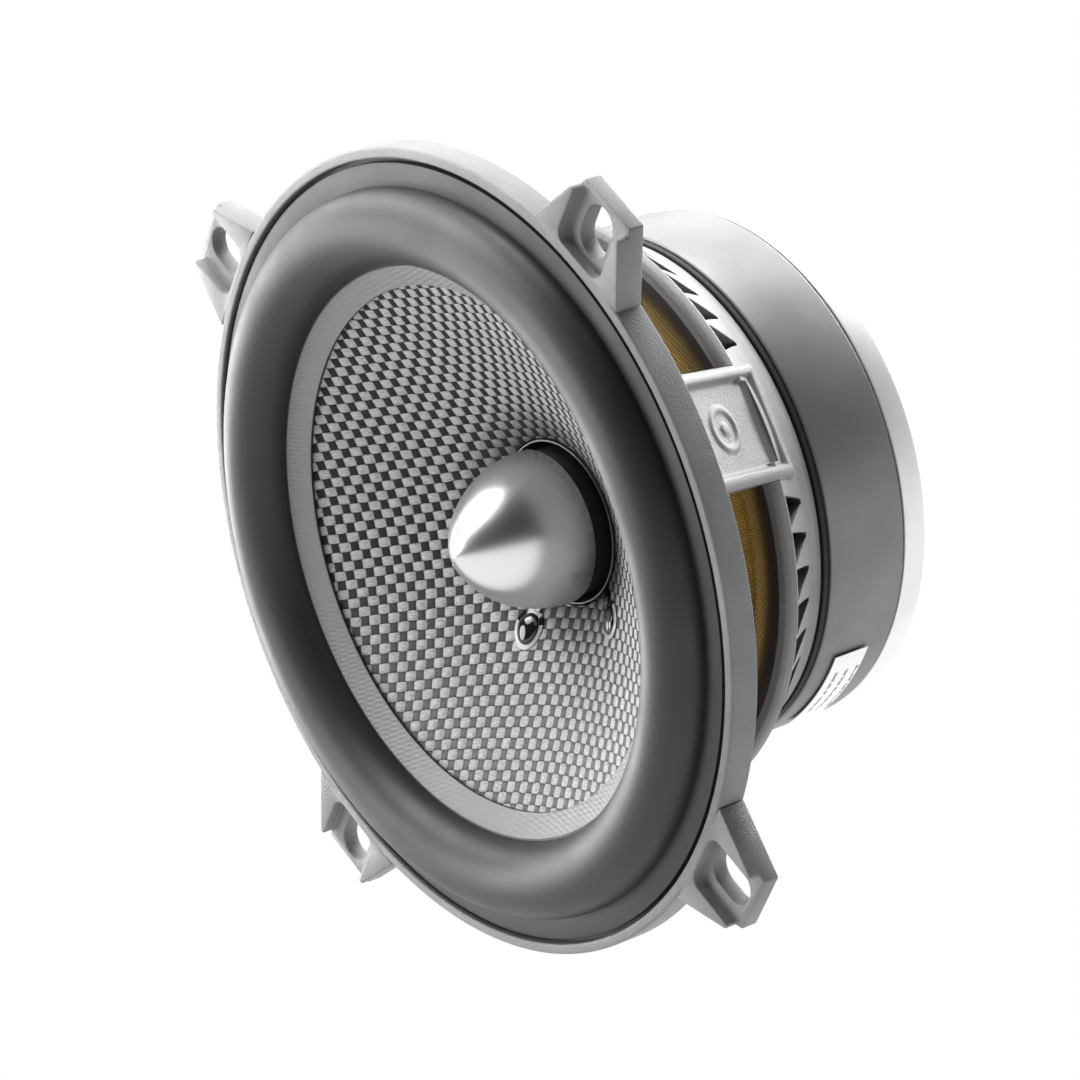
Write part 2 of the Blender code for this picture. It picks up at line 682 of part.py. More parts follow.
def make_leads(braid):
    for (side_name, angle), side in zip(LEAD_SIDES, (TAB_OFFSET, -TAB_OFFSET)):
        name = f"tinsel_lead_{side_name}"
        curve = bpy.data.curves.new(name, "CURVE")
        curve.dimensions = "3D"
        curve.bevel_depth = LEAD_WIRE_R * MM
        curve.bevel_resolution = 2
        curve.use_fill_caps = True
        route = smooth_route(lead_route(angle, side), 6)
        spline = curve.splines.new("POLY")
        spline.points.add(len(route) - 1)
        for point, place in zip(spline.points, route):
            point.co = (*place, 1.0)
        curve.materials.append(braid)
        bpy.context.scene.collection.objects.link(bpy.data.objects.new(name, curve))


def make_label(paper):
    """A thin curved label on the magnet's side."""
    inner, outer = MAGNET_R + GAP, MAGNET_R + GAP + LABEL_T
    first, last = LABEL_ANGLES
    angles = [first + (last - first) * k / LABEL_STEPS for k in range(LABEL_STEPS + 1)]
    outline = [polar(a, outer, LABEL_Y[0]) for a in angles]
    outline += [polar(a, inner, LABEL_Y[0]) for a in reversed(angles)]
    bm = bmesh.new()
    add_prism(bm, outline, Vector((0, (LABEL_Y[1] - LABEL_Y[0]) * MM, 0)))
    add_object("magnet_label", bm, paper)


def main():
    clear_scene()
    paint = make_material("basket_paint", (0.42, 0.43, 0.43), 0.45)
    guide = make_material("guide", (0.8, 0.3, 0.3), 0.5)
    rubber = make_material("surround_rubber", (0.05, 0.05, 0.05), 0.5)
    cloth = make_material("cone_cloth", (0.35, 0.35, 0.34), 0.35)
    spider_cloth = make_material("spider_cloth", (0.55, 0.38, 0.10), 0.8)
    black_steel = make_material("black_steel", (0.02, 0.02, 0.02), 0.4, 0.6)
    ferrite = make_material("ferrite", (0.22, 0.23, 0.23), 0.45)
    zinc = make_material("zinc_steel", (0.78, 0.78, 0.77), 0.3, 1.0)
    chrome = make_material("polished_plug", (0.85, 0.85, 0.86), 0.12, 1.0)
    black = make_material("spacer_black", (0.02, 0.02, 0.02), 0.35)
    former_paper = make_material("former_foil", (0.75, 0.75, 0.76), 0.3, 1.0)
    copper = make_material("copper_wire", (0.72, 0.38, 0.2), 0.3, 1.0)
    glue = make_material("black_glue", (0.015, 0.015, 0.015), 0.1)
    solder = make_material("solder", (0.7, 0.7, 0.7), 0.25, 1.0)
    phenolic = make_material("phenolic_board", (0.24, 0.12, 0.05), 0.5)
    brass = make_material("tinned_brass", (0.75, 0.7, 0.55), 0.3, 1.0)
    braid = make_material("tinsel_braid", (0.6, 0.5, 0.35), 0.4, 0.8)
    paper = make_material("label_paper", (0.85, 0.85, 0.84), 0.5)

    axis = bpy.data.objects.new("cone_axis", None)
    bpy.context.scene.collection.objects.link(axis)

    make_basket(paint, guide)
    make_motor(black_steel, ferrite, zinc, guide)
    make_phase_plug(chrome, black, zinc)
    make_surround(rubber)
    make_spider(spider_cloth)
    make_moving_parts(cloth, former_paper, copper, glue, solder, axis)
    make_terminals(phenolic, brass, zinc, guide)
    make_leads(braid)
    make_label(paper)


main()
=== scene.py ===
"""Looks of the car loudspeaker driver: fine surfaces, materials, light and camera.

Lengths are millimetres in the frame of the CAD model, except for the floor and the lamps,
which are in metres. The driver's axis is Y, the cone faces -Y, +Z is up and y = 0 is the rear
of the flange. Angles are degrees round Y, from +X towards +Z. A profile is a closed outline of
(radius, y) points, and a third number rounds that corner.
"""

import math

import bmesh
import bpy
import numpy as np
from mathutils import Matrix, Vector


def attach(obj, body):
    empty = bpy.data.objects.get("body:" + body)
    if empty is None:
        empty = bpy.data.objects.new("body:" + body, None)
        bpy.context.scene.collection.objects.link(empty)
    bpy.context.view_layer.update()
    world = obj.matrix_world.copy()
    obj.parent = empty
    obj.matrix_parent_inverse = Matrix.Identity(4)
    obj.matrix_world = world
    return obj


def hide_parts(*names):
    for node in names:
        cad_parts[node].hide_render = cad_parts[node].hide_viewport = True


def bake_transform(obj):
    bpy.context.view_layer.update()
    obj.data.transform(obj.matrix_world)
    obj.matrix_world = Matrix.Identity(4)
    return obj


MM = 0.001
FRAME_BODY = "driver_frame"
CONE_BODY = "cone_assembly"

# Camera: where it stands and the directions of its right, up and back
CAMERA_AT = (646.27, -444.5, 134.81)
CAMERA_RIGHT = (0.5922, 0.7793, -0.2049)
CAMERA_UP = (-0.0163, 0.2659, 0.9639)
CAMERA_BACK = (0.8056, -0.5675, 0.1702)
CAMERA_LENS = 170.02
SENSOR_WIDTH = 36.0

# Floor, in metres
FLOOR_Z = -0.42
FLOOR_HALF = 6.0

# Light: each lamp's direction by the camera's right, up and back, and its power in watts.
# Sizes and distances from the origin are in metres.
LAMPS = (
    ((-1.0, 0.0, 0.0), 10.5),
    ((0.0, 1.0, 0.0), 21.0),
    ((-0.7, 0.7, 0.0), 8.0),
    ((0.7, 0.0, -0.7), 7.0),
    ((-0.7, 0.0, -0.7), 13.0),
    ((0.0, 0.7, -0.7), 6.0),
    ((0.6, 0.6, -0.6), 25.0),
    ((-0.6, 0.6, -0.6), 7.0),
)
LAMP_SIZE = 0.75
LAMP_DISTANCE = 1.2
NEAR_LAMP = ((-0.75, 0.65, 0.15), 0.55)     # a small lamp close to the upper left ear
NEAR_LAMP_SIZE = 0.2
NEAR_LAMP_DISTANCE = 0.28
ROOM_GLOW = 0.03              # how strongly the white room and floor light the driver
FLOOR_GLOW = 1.3

STEPS = 256                   # sides of a turned piece
ON_AXIS = 1e-6                # a radius below this is a point on the axis

# Basket
SPOKE_ANGLES = (17.5, 107.5, 197.5, 287.5)
EAR_ANGLES = (45.0, 135.0, 225.0, 315.0)
WINDOW_ANGLES = (62.5, 152.5, 242.5, 332.5)
TERMINAL_ANGLE = 242.5
VENT_PITCH = 90.0 / 13
VENTS_PER_WINDOW = 9
FLANGE_FRONT = -5.0
SPOKE_HALF = 9.5              # half the width of a spoke
SPOKE_FRONT = (60.1, -1.0)    # (radius, y) of a spoke's face at both ends
SPOKE_REAR = (45.6, 27.5)
SPOKE_CREST_END = 27.3        # y where the rear rib of a spoke ends
MARK_Y = 13.2                 # y of the middle of the raised mark

# Vents: each one a triangle between these, cut through the cup's wall
VENT_FRONT_Y, VENT_REAR_Y = 22.75, 28.9
VENT_FRONT_HALF, VENT_REAR_HALF = 3.0, 0.45     # in degrees
VENT_CUT_R = (40.2, 53.0)

# Cone and weave
CONE_NECK = (13.8, 15.3)      # (radius, y)
CONE_EDGE = (46.0, -3.2)
CONE_T = 0.9                  # thickness along the axis
YARN = 1.55                   # width of one yarn of the cloth
YARN_RISE = 0.55              # how far a yarn rises and dips, as a share of its arch
WEFT_LEAD = 0.25              # how far the weft, pale with painted sheen, stands above the dark warp

# Rings of the surround and the spider
SURROUND_INNER_R, SURROUND_OUTER_R = 46.4, 59.0
LIP_BAND_R = 46.25            # the surround is ribbed cloth inside this radius
SPIDER_INNER_R, SPIDER_OUTER_R = 15.4, 43.2
SPIDER_Y, SPIDER_T = 21.1, 0.45
SPIDER_FOLDS, SPIDER_FOLD_HEIGHT = 5, 1.05

# Leads: name, angle of its drop and eyelet on the cone, place on the board from its middle
LEADS = (("positive", 310.0, 8.0), ("negative", 240.0, -8.0))
LEAD_R = 19.5                 # radius of the drops and the eyelets
EYELET_GAP = 0.3              # between the cone's rear and the eyelet
WIRE_R = 0.58

# Terminal board
BOARD_R = 50.9                # radius of its inner face
BOARD_T = 1.6
BOARD_Y = 17.0                # y of its middle
TAB_WIDTHS = (6.3, 4.8)       # positive and negative

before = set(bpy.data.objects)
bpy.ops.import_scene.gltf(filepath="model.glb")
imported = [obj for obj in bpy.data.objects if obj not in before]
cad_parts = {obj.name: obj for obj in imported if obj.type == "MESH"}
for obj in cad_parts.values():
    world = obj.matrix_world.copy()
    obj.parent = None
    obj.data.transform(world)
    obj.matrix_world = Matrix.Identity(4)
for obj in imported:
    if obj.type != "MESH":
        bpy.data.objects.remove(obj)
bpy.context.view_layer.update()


# ---------------------------------------------------------------- geometry helpers

def polar(angle, radius, y, side=0.0):
    """A point in metres, at an angle and a radius, moved sideways by side."""
    a = math.radians(angle)
    out = Vector((math.cos(a), 0.0, math.sin(a)))
    across = Vector((-math.sin(a), 0.0, math.cos(a)))
    return (out * radius + across * side + Vector((0.0, y, 0.0))) * MM


def rounded(points, steps=4):
    """Round the corners of a closed outline. Each point is (r, y) or (r, y, radius)."""
    done = []
    count = len(points)
    for i, point in enumerate(points):
        here = Vector(point[:2])
        radius = point[2] if len(point) > 2 else 0.0
        if not radius:
            done.append(tuple(here))
            continue
        before = Vector(points[i - 1][:2]) - here
        after = Vector(points[(i + 1) % count][:2]) - here
        reach = min(radius, before.length * 0.49, after.length * 0.49)
        a = here + before.normalized() * reach
        b = here + after.normalized() * reach
        for k in range(steps + 1):
            t = k / steps
            done.append(tuple(a * (1 - t) ** 2 + here * 2 * t * (1 - t) + b * t * t))
    return done


def circle(count):
    """Points of a circle of radius 1 about Y."""
    return [
        Vector((math.cos(math.tau * k / count), 0, math.sin(math.tau * k / count)))
        for k in range(count)
    ]


def new_object(name, vertices, faces, material=None, smooth_angle=35.0):
    """Make a mesh object whose faces all look outwards."""
    mesh = bpy.data.meshes.new(name)
    mesh.from_pydata(vertices, [], faces)
    mesh.validate()
    bm = bmesh.new()
    bm.from_mesh(mesh)
    bmesh.ops.recalc_face_normals(bm, faces=bm.faces[:])
    if bm.calc_volume(signed=True) < 0:
        bmesh.ops.reverse_faces(bm, faces=bm.faces[:])
    bm.to_mesh(mesh)
    bm.free()
    mesh.shade_smooth()
    mesh.set_sharp_from_angle(angle=math.radians(smooth_angle))
    made = bpy.data.objects.new(name, mesh)
    bpy.context.scene.collection.objects.link(made)
    if material:
        mesh.materials.append(material)
    return made


def lathe(name, profile, material=None, steps=STEPS, smooth_angle=35.0):
    """Turn a closed profile of (r, y) points about Y. Points on the axis become poles."""
    vertices, rows = [], []
    for r, y in profile:
        if r < ON_AXIS:
            rows.append([len(vertices)] * steps)
            vertices.append((0.0, y * MM, 0.0))
            continue
        rows.append(list(range(len(vertices), len(vertices) + steps)))
        for k in range(steps):
            a = math.tau * k / steps
            vertices.append((r * MM * math.cos(a), y * MM, r * MM * math.sin(a)))
    faces = []
    pairs = list(zip(rows, rows[1:]))
    if profile[0][0] >= ON_AXIS:
        pairs.append((rows[-1], rows[0]))
    for low, high in pairs:
        for k in range(steps):
            j = (k + 1) % steps
            corners = [low[k], low[j], high[j], high[k]]
            unique = list(dict.fromkeys(corners))
            if len(unique) > 2:
                faces.append(unique)
    return new_object(name, vertices, faces, material, smooth_angle)


def ring_profile(inner, outer, front, rear, corner=0.4):
    return rounded((
        (inner, front, corner), (outer, front, corner),
        (outer, rear, corner), (inner, rear, corner),
    ))


def loft(name, ring_a, ring_b, material=None):
    """Close the space between two outlines that have as many points."""
    count = len(ring_a)
    faces = [list(range(count)), list(range(2 * count - 1, count - 1, -1))]
    for i in range(count):
        j = (i + 1) % count
        faces.append([j, i, i + count, j + count])
    return new_object(name, list(ring_a) + list(ring_b), faces, material)


def prism(name, outline, travel, material=None):
    """Extrude a flat outline of points along a vector."""
    return loft(name, outline, [point + travel for point in outline], material)


def tube_faces(around, rows):
    """Faces that join a number of rings of points, one ring after the other."""
    faces = []
    for i in range(rows):
        for k in range(around):
            j = (k + 1) % around
            a, b = i * around, (i + 1) * around
            faces.append((a + k, a + j, b + j, b + k))
    return faces


def joined(name, parts):
    """Join several objects into one mesh object."""
    bm = bmesh.new()
    for part in parts:
        bm.from_mesh(part.data)
    mesh = bpy.data.meshes.new(name)
    bm.to_mesh(mesh)
    bm.free()
    for part in parts:
        bpy.data.objects.remove(part, do_unlink=True)
    made = bpy.data.objects.new(name, mesh)
    bpy.context.scene.collection.objects.link(made)
    return made


def apply_modifiers(target):
    """Keep the mesh that the modifiers make, and drop them."""
    graph = bpy.context.evaluated_depsgraph_get()
    mesh = bpy.data.meshes.new_from_object(target.evaluated_get(graph))
    target.modifiers.clear()
    target.data = mesh


def cut(target, tool):
    """Take the tool's shape out of the target, and remove the tool."""
    modifier = target.modifiers.new("cut", "BOOLEAN")
    modifier.operation = "DIFFERENCE"
    modifier.solver = "EXACT"
    modifier.object = tool
    apply_modifiers(target)
    bpy.data.objects.remove(tool, do_unlink=True)


def shade(target, sharp_angle):
    """Shade smooth, but for edges sharper than an angle in degrees."""
    target.data.shade_smooth()
    target.data.set_sharp_from_angle(angle=math.radians(sharp_angle))


def soften(target, width, segments=2, angle=30.0):
    """Round the sharp edges of a mesh by a real bevel."""
    modifier = target.modifiers.new("bevel", "BEVEL")
    modifier.width = width * MM
    modifier.segments = segments
    modifier.limit_method = "ANGLE"
    modifier.angle_limit = math.radians(angle)
    modifier.harden_normals = False
    apply_modifiers(target)
    shade(target, 40)


def place(piece, body, node):
    """Let a finished piece ride a body in place of a CAD node."""
    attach(piece, body)
    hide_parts(node)


def arc(cx, cy, radius, start, end, steps):
    """Points of a circle's arc about (cx, cy), from one angle to another in degrees."""
    return [
        (
            cx + radius * math.cos(math.radians(start + (end - start) * k / steps)),
            cy + radius * math.sin(math.radians(start + (end - start) * k / steps)),
        )
        for k in range(steps + 1)
    ]


# ---------------------------------------------------------------- material helpers

class Nodes:
    """A small helper that builds a node tree with little repetition."""

    def __init__(self, tree):
        self.tree = tree

    def add(self, kind, **settings):
        node = self.tree.nodes.new(kind)
        for key, value in settings.items():
            setattr(node, key, value)
        return node

    def put(self, socket, value):
        """Link a socket, set its plain value, or leave it alone where there is neither."""
        if isinstance(value, bpy.types.NodeSocket):
            self.tree.links.new(value, socket)
        elif value is not None:
            socket.default_value = value

    def math(self, operation, a, b=None):
        node = self.add("ShaderNodeMath", operation=operation)
        for socket, value in zip(node.inputs, (a, b)):
            self.put(socket, value)
        return node.outputs[0]

    def times(self, a, b):
        return self.math("MULTIPLY", a, b)

    def radius(self, x, z):
        """Distance from the driver's axis."""
        return self.math("SQRT", self.math("ADD", self.times(x, x), self.times(z, z)))

    def vector(self, x, y, z):
        node = self.add("ShaderNodeCombineXYZ")
        for socket, value in zip(node.inputs, (x, y, z)):
            self.put(socket, value)
        return node.outputs[0]

    def noise(self, vector, scale, detail=2.0, rough=0.5):
        node = self.add("ShaderNodeTexNoise")
        self.put(node.inputs["Vector"], vector)
        self.put(node.inputs["Scale"], scale)
        self.put(node.inputs["Detail"], detail)
        self.put(node.inputs["Roughness"], rough)
        return node.outputs["Fac"]

    def span(self, value, low, high, to_low=0.0, to_high=1.0, smooth=False):
        """Map a range of values to another one, and stop at its ends."""
        node = self.add("ShaderNodeMapRange")
        if smooth:
            node.interpolation_type = "SMOOTHSTEP"
        for name, item in (
            ("Value", value), ("From Min", low), ("From Max", high),
            ("To Min", to_low), ("To Max", to_high),
        ):
            self.put(node.inputs[name], item)
        return node.outputs["Result"]

    def mix(self, share, a, b):
        node = self.add("ShaderNodeMix", data_type="RGBA")
        self.put(node.inputs["Factor"], share)
        self.put(node.inputs["A"], a)
        self.put(node.inputs["B"], b)
        return node.outputs["Result"]

    def bump(self, height, distance, normal=None):
        node = self.add("ShaderNodeBump")
        self.put(node.inputs["Height"], height)
        self.put(node.inputs["Distance"], distance)
        self.put(node.inputs["Strength"], 1.0)
        self.put(node.inputs["Normal"], normal)
        return node.outputs["Normal"]

    def position(self):
        """Where a point lies on its object, in metres."""
        return self.add("ShaderNodeTexCoord").outputs["Object"]

    def split(self, vector):
        node = self.add("ShaderNodeSeparateXYZ")
        self.put(node.inputs[0], vector)
        return node.outputs


def material(name, colour, roughness, metallic=0.0, **extra):
    """A Principled material. Returns it with its shader and its node helper."""
    made = bpy.data.materials.new(name)
    made.use_nodes = True
    shader = made.node_tree.nodes["Principled BSDF"]
    shader.inputs["Base Color"].default_value = (*colour, 1.0)
    shader.inputs["Roughness"].default_value = roughness
    shader.inputs["Metallic"].default_value = metallic
    for key, value in extra.items():
        shader.inputs[key.replace("_", " ")].default_value = value
    made.diffuse_color = (*colour, 1.0)
    return made, shader, Nodes(made.node_tree)


def plain(*settings, **extra):
    """A Principled material with nothing but constant values."""
    return material(*settings, **extra)[0]


def rgba(r, g, b):
    return (r, g, b, 1.0)


def grey(value):
    return (value, value, value, 1.0)


def grained(
    name, colour, roughness, metallic=0.0, grain=0.06, size=2600.0, edge=0.25, mottle=0.12
):
    """A coated or plated surface: fine grain, slight mottling and softened edges.

    grain is the depth of the grain and size its scale, and edge is the radius of the edges.
    """
    made, shader, n = material(name, colour, roughness, metallic)
    where = n.position()
    fine = n.noise(where, size, 3.0, 0.6)
    broad = n.noise(where, 90.0, 3.0, 0.55)
    darker = rgba(*(c * (1 - mottle) for c in colour))
    lighter = rgba(*(min(1.0, c * (1 + mottle)) for c in colour))
    n.put(shader.inputs["Base Color"], n.mix(n.span(broad, 0.3, 0.7), darker, lighter))
    n.put(shader.inputs["Roughness"], n.span(fine, 0.2, 0.8, roughness - 0.06, roughness + 0.08))
    normal = None
    if edge:
        bevel = n.add("ShaderNodeBevel", samples=6)
        bevel.inputs["Radius"].default_value = edge * MM
        normal = bevel.outputs["Normal"]
    if grain:
        normal = n.bump(fine, grain * MM, normal)
    n.put(shader.inputs["Normal"], normal)
    return made


def make_weave():
    """Glossy woven glass cloth: flat yarns along X and Z that pass over and under."""
    made, shader, n = material("cone_glass_cloth", (0.2, 0.2, 0.2), 0.34)
    x, _, z = n.split(n.position())
    uneven = n.math("SUBTRACT", n.noise(n.position(), 120.0, 2.0), 0.5)
    wobble = n.times(uneven, 0.35)
    u = n.math("ADD", n.math("DIVIDE", x, YARN * MM), wobble)
    v = n.math("ADD", n.math("DIVIDE", z, YARN * MM), wobble)
    sin_u = n.math("SINE", n.times(u, math.pi))
    sin_v = n.math("SINE", n.times(v, math.pi))

    def yarn(across, along, rise, flatness):
        """Height of one set of yarns: an arch over its width that rises and dips."""
        arch = n.math("POWER", n.math("ABSOLUTE", across), flatness)
        swing = n.times(n.times(along, n.math("SIGN", across)), rise)
        return n.math("ADD", arch, swing)

    # Painted sheen: the weft is coloured pale and the warp dark, as if the weft's fibres catch the
    # light and the warp's don't
    warp = yarn(sin_u, sin_v, YARN_RISE, 0.4)
    weft = yarn(sin_v, sin_u, -YARN_RISE, 0.3)
    height = n.math("MAXIMUM", n.math("SUBTRACT", warp, WEFT_LEAD), weft)
    on_top = n.math("GREATER_THAN", warp, n.math("ADD", weft, WEFT_LEAD))

    # Fibres lie along each yarn, so they are much finer across it than along it
    across, along = 7.0, 1.6
    fibre_warp = n.noise(n.vector(n.times(u, across), 0.0, n.times(v, along)), 1.0, 3.0)
    fibre_weft = n.noise(n.vector(n.times(u, along), 4.0, n.times(v, across)), 1.0, 3.0)
    fibre = n.math(
        "ADD", n.times(fibre_warp, on_top),
        n.times(fibre_weft, n.math("SUBTRACT", 1.0, on_top)),
    )

    # Painted shade: each yarn's colour darkens where it dips low in the weave, and its fibres vary
    # its tone
    weft_share = n.times(n.span(height, 0.1, 1.0), n.span(fibre, 0.3, 0.7, 0.45, 1.0))
    weft_painted_sheen = n.mix(weft_share, grey(0.03), rgba(0.46, 0.46, 0.455))

    # Painted sheen: the dark yarns turn paler towards the bottom of the cone, as if they reflected
    # the light from below
    painted_low_sheen = n.span(z, -38.0 * MM, 0.0, 0.17, 0.012, smooth=True)
    # Painted shade: the warp's colour darkens where it dips low, too
    warp_share = n.times(n.span(height, 0.4, 1.1), n.span(fibre, 0.3, 0.7, 0.4, 1.0))
    warp_painted_shade_and_sheen = n.mix(n.times(warp_share, painted_low_sheen), grey(0.002), grey(1))
    woven = n.mix(on_top, weft_painted_sheen, warp_painted_shade_and_sheen)

    # Painted shade: the cloth darkens next to the neck, round the plug
    painted_neck_shade = n.span(n.radius(x, z), 14.0 * MM, 23.0 * MM, 0.6, 0.0, smooth=True)
    n.put(shader.inputs["Base Color"], n.mix(painted_neck_shade, woven, grey(0.01)))
    gloss = n.span(fibre, 0.25, 0.75, 0.3, 0.5)
    n.put(shader.inputs["Roughness"], n.math("ADD", gloss, n.times(on_top, 0.3)))
    shader.inputs["Specular IOR Level"].default_value = 0.28
    total = n.math("ADD", height, n.times(fibre, 0.3))
    n.put(shader.inputs["Normal"], n.bump(total, 0.2 * MM))
    return made


def make_rubber(name, colour, roughness, rib=0.0):
    """Dull rubber, with dusty patches and, where rib isn't 0, the print of a cloth."""
    made, shader, n = material(name, colour, roughness)
    where = n.position()
    fine = n.noise(where, 3200.0, 2.0)
    dust = n.noise(where, 60.0, 4.0, 0.6)
    n.put(shader.inputs["Roughness"], n.span(dust, 0.3, 0.7, roughness - 0.05, roughness + 0.07))
    height = n.times(fine, 0.03)
    if rib:
        x, _, z = n.split(where)
        lines = n.math("SINE", n.times(z, math.tau / (YARN * 0.5 * MM)))
        columns = n.math("SINE", n.times(x, math.tau / (YARN * 2 * MM)))
        height = n.math("ADD", height, n.times(n.times(lines, columns), rib))
    n.put(shader.inputs["Normal"], n.bump(height, 1.0 * MM))
    return made


def make_spider_cloth():
    """Amber phenolic cloth with a fine grid, darker in patches, and with a painted shadow of the
    cup at its outer edge.
    """
    made, shader, n = material("spider_amber_cloth", (0.5, 0.32, 0.07), 0.6)
    x, _, z = n.split(n.position())
    threads = math.tau / (0.55 * MM)
    grid = n.times(n.math("SINE", n.times(x, threads)), n.math("SINE", n.times(z, threads)))
    patch = n.noise(n.position(), 140.0, 3.0)
    dark = n.mix(patch, rgba(0.3, 0.15, 0.015), rgba(0.5, 0.29, 0.035))
    woven = n.mix(n.span(grid, -0.6, 0.6), dark, rgba(0.75, 0.48, 0.09))
    # Painted shadow: the cloth turns near black towards its outer edge, where the cup shades it
    edge = n.span(n.radius(x, z), 40.0 * MM, 44.5 * MM, smooth=True)
    n.put(shader.inputs["Base Color"], n.mix(edge, woven, rgba(0.025, 0.012, 0.004)))
    n.put(shader.inputs["Normal"], n.bump(grid, 0.08 * MM))
    return made


def make_label():
    """White sticker with a few plain bars in place of print."""
    made, shader, n = material("label_sticker", (0.85, 0.85, 0.84), 0.45)
    bar_pitch, bar_start, bar_end = 2.2, -63.0, -46.0
    x, y, z = n.split(n.position())
    angle = n.math("ARCTAN2", z, x)
    rows = n.math("SINE", n.times(y, math.tau / (bar_pitch * MM)))
    bar = n.math("GREATER_THAN", rows, 0.55)
    after_start = n.math("GREATER_THAN", angle, math.radians(bar_start))
    before_end = n.math("LESS_THAN", angle, math.radians(bar_end))
    band = n.times(bar, n.times(after_start, before_end))
    spread = n.vector(n.times(angle, 30.0), n.times(y, 900.0), 0.0)
    breaks = n.noise(spread, 1.6, 0.0)
    band = n.times(band, n.math("GREATER_THAN", breaks, 0.42))
    n.put(shader.inputs["Base Color"], n.mix(band, rgba(0.86, 0.86, 0.85), grey(0.25)))
    return made


def make_shaded_turned_steel():
    """A darker copy of the zinc plating for faces that look straight back: painted shade, with
    random stains and the fine rings that a lathe leaves.
    """
    made, shader, n = material("turned_steel_painted_shade", (0.16, 0.162, 0.162), 0.5, 0.5)
    x, _, z = n.split(n.position())
    rings = n.noise(n.vector(n.times(n.radius(x, z), 2600.0), 0.0, 0.0), 1.0, 3.0)
    stain = n.noise(n.position(), 70.0, 4.0, 0.6)
    stained = n.mix(stain, rgba(0.12, 0.122, 0.122), rgba(0.2, 0.202, 0.202))
    n.put(shader.inputs["Base Color"], stained)
    n.put(shader.inputs["Roughness"], n.span(rings, 0.3, 0.7, 0.42, 0.58))
    n.put(shader.inputs["Normal"], n.bump(rings, 0.03 * MM))
    return made


def shade_rear_faces(piece, shaded_copy, limit=0.9):
    """Give the faces that look straight back a second, darker material: painted shade."""
    piece.data.materials.append(shaded_copy)
    for face in piece.data.polygons:
        if face.normal.y > limit:
            face.material_index = 1


def make_braid():
    """Twisted copper tinsel."""
    made, shader, n = material("tinsel_braid", (0.55, 0.42, 0.26), 0.4, 0.6)
    twist = n.add("ShaderNodeTexWave", bands_direction="DIAGONAL")
    n.put(twist.inputs["Vector"], n.position())
    twist.inputs["Scale"].default_value = 900.0
    strands = twist.outputs["Fac"]
    n.put(shader.inputs["Base Color"], n.mix(strands, rgba(0.3, 0.2, 0.1), rgba(0.75, 0.6, 0.4)))
    n.put(shader.inputs["Normal"], n.bump(strands, 0.1 * MM))
    return made


def make_winding():
    """Copper wire wound in turns."""
    made, shader, n = material("copper_winding", (0.72, 0.36, 0.18), 0.3, 0.9)
    turn_pitch = 0.25
    _, y, _ = n.split(n.position())
    turns = n.math("ABSOLUTE", n.math("SINE", n.times(y, math.pi / (turn_pitch * MM))))
    n.put(shader.inputs["Normal"], n.bump(turns, 0.1 * MM))
    return made


# ---------------------------------------------------------------- basket

def spoke_outer_r(y):
    """Radius of a spoke's face at a depth, before its frame and panel are shaped."""
    (r0, y0), (r1, y1) = SPOKE_FRONT, SPOKE_REAR
    return r0 + (r1 - r0) * (y - y0) / (y1 - y0)


def smooth_step(value, low, high):
    """Rise softly from 0 at low to 1 at high."""
    t = min(1.0, max(0.0, (value - low) / (high - low)))
    return t * t * (3 - 2 * t)


def spoke_height(side, y):
    """How far a spoke's face stands out or in, at a place on the plate.

    The side edges and the rear edge are rounded off, the panel inside the ribs is sunk, and a
    plain ring with a dot at its middle is raised on it.
    """
    edge = SPOKE_HALF - abs(side)
    rear = SPOKE_CREST_END - y
    rounded_side = -1.05 * (1.0 - min(1.0, edge / 1.4)) ** 2
    rounded_rear = -0.4 * (1.0 - min(1.0, rear / 0.5)) ** 2
    sunk = -1.15 * min(smooth_step(edge, 1.8, 2.75), smooth_step(rear, 1.1, 2.9))
    from_mark = math.hypot(side, y - MARK_Y)
    ring = smooth_step(from_mark, 2.5, 3.0) - smooth_step(from_mark, 3.5, 4.0)
    dot = 1.0 - smooth_step(from_mark, 0.7, 1.3)
    return rounded_side + rounded_rear + sunk + 0.35 * (ring + dot)


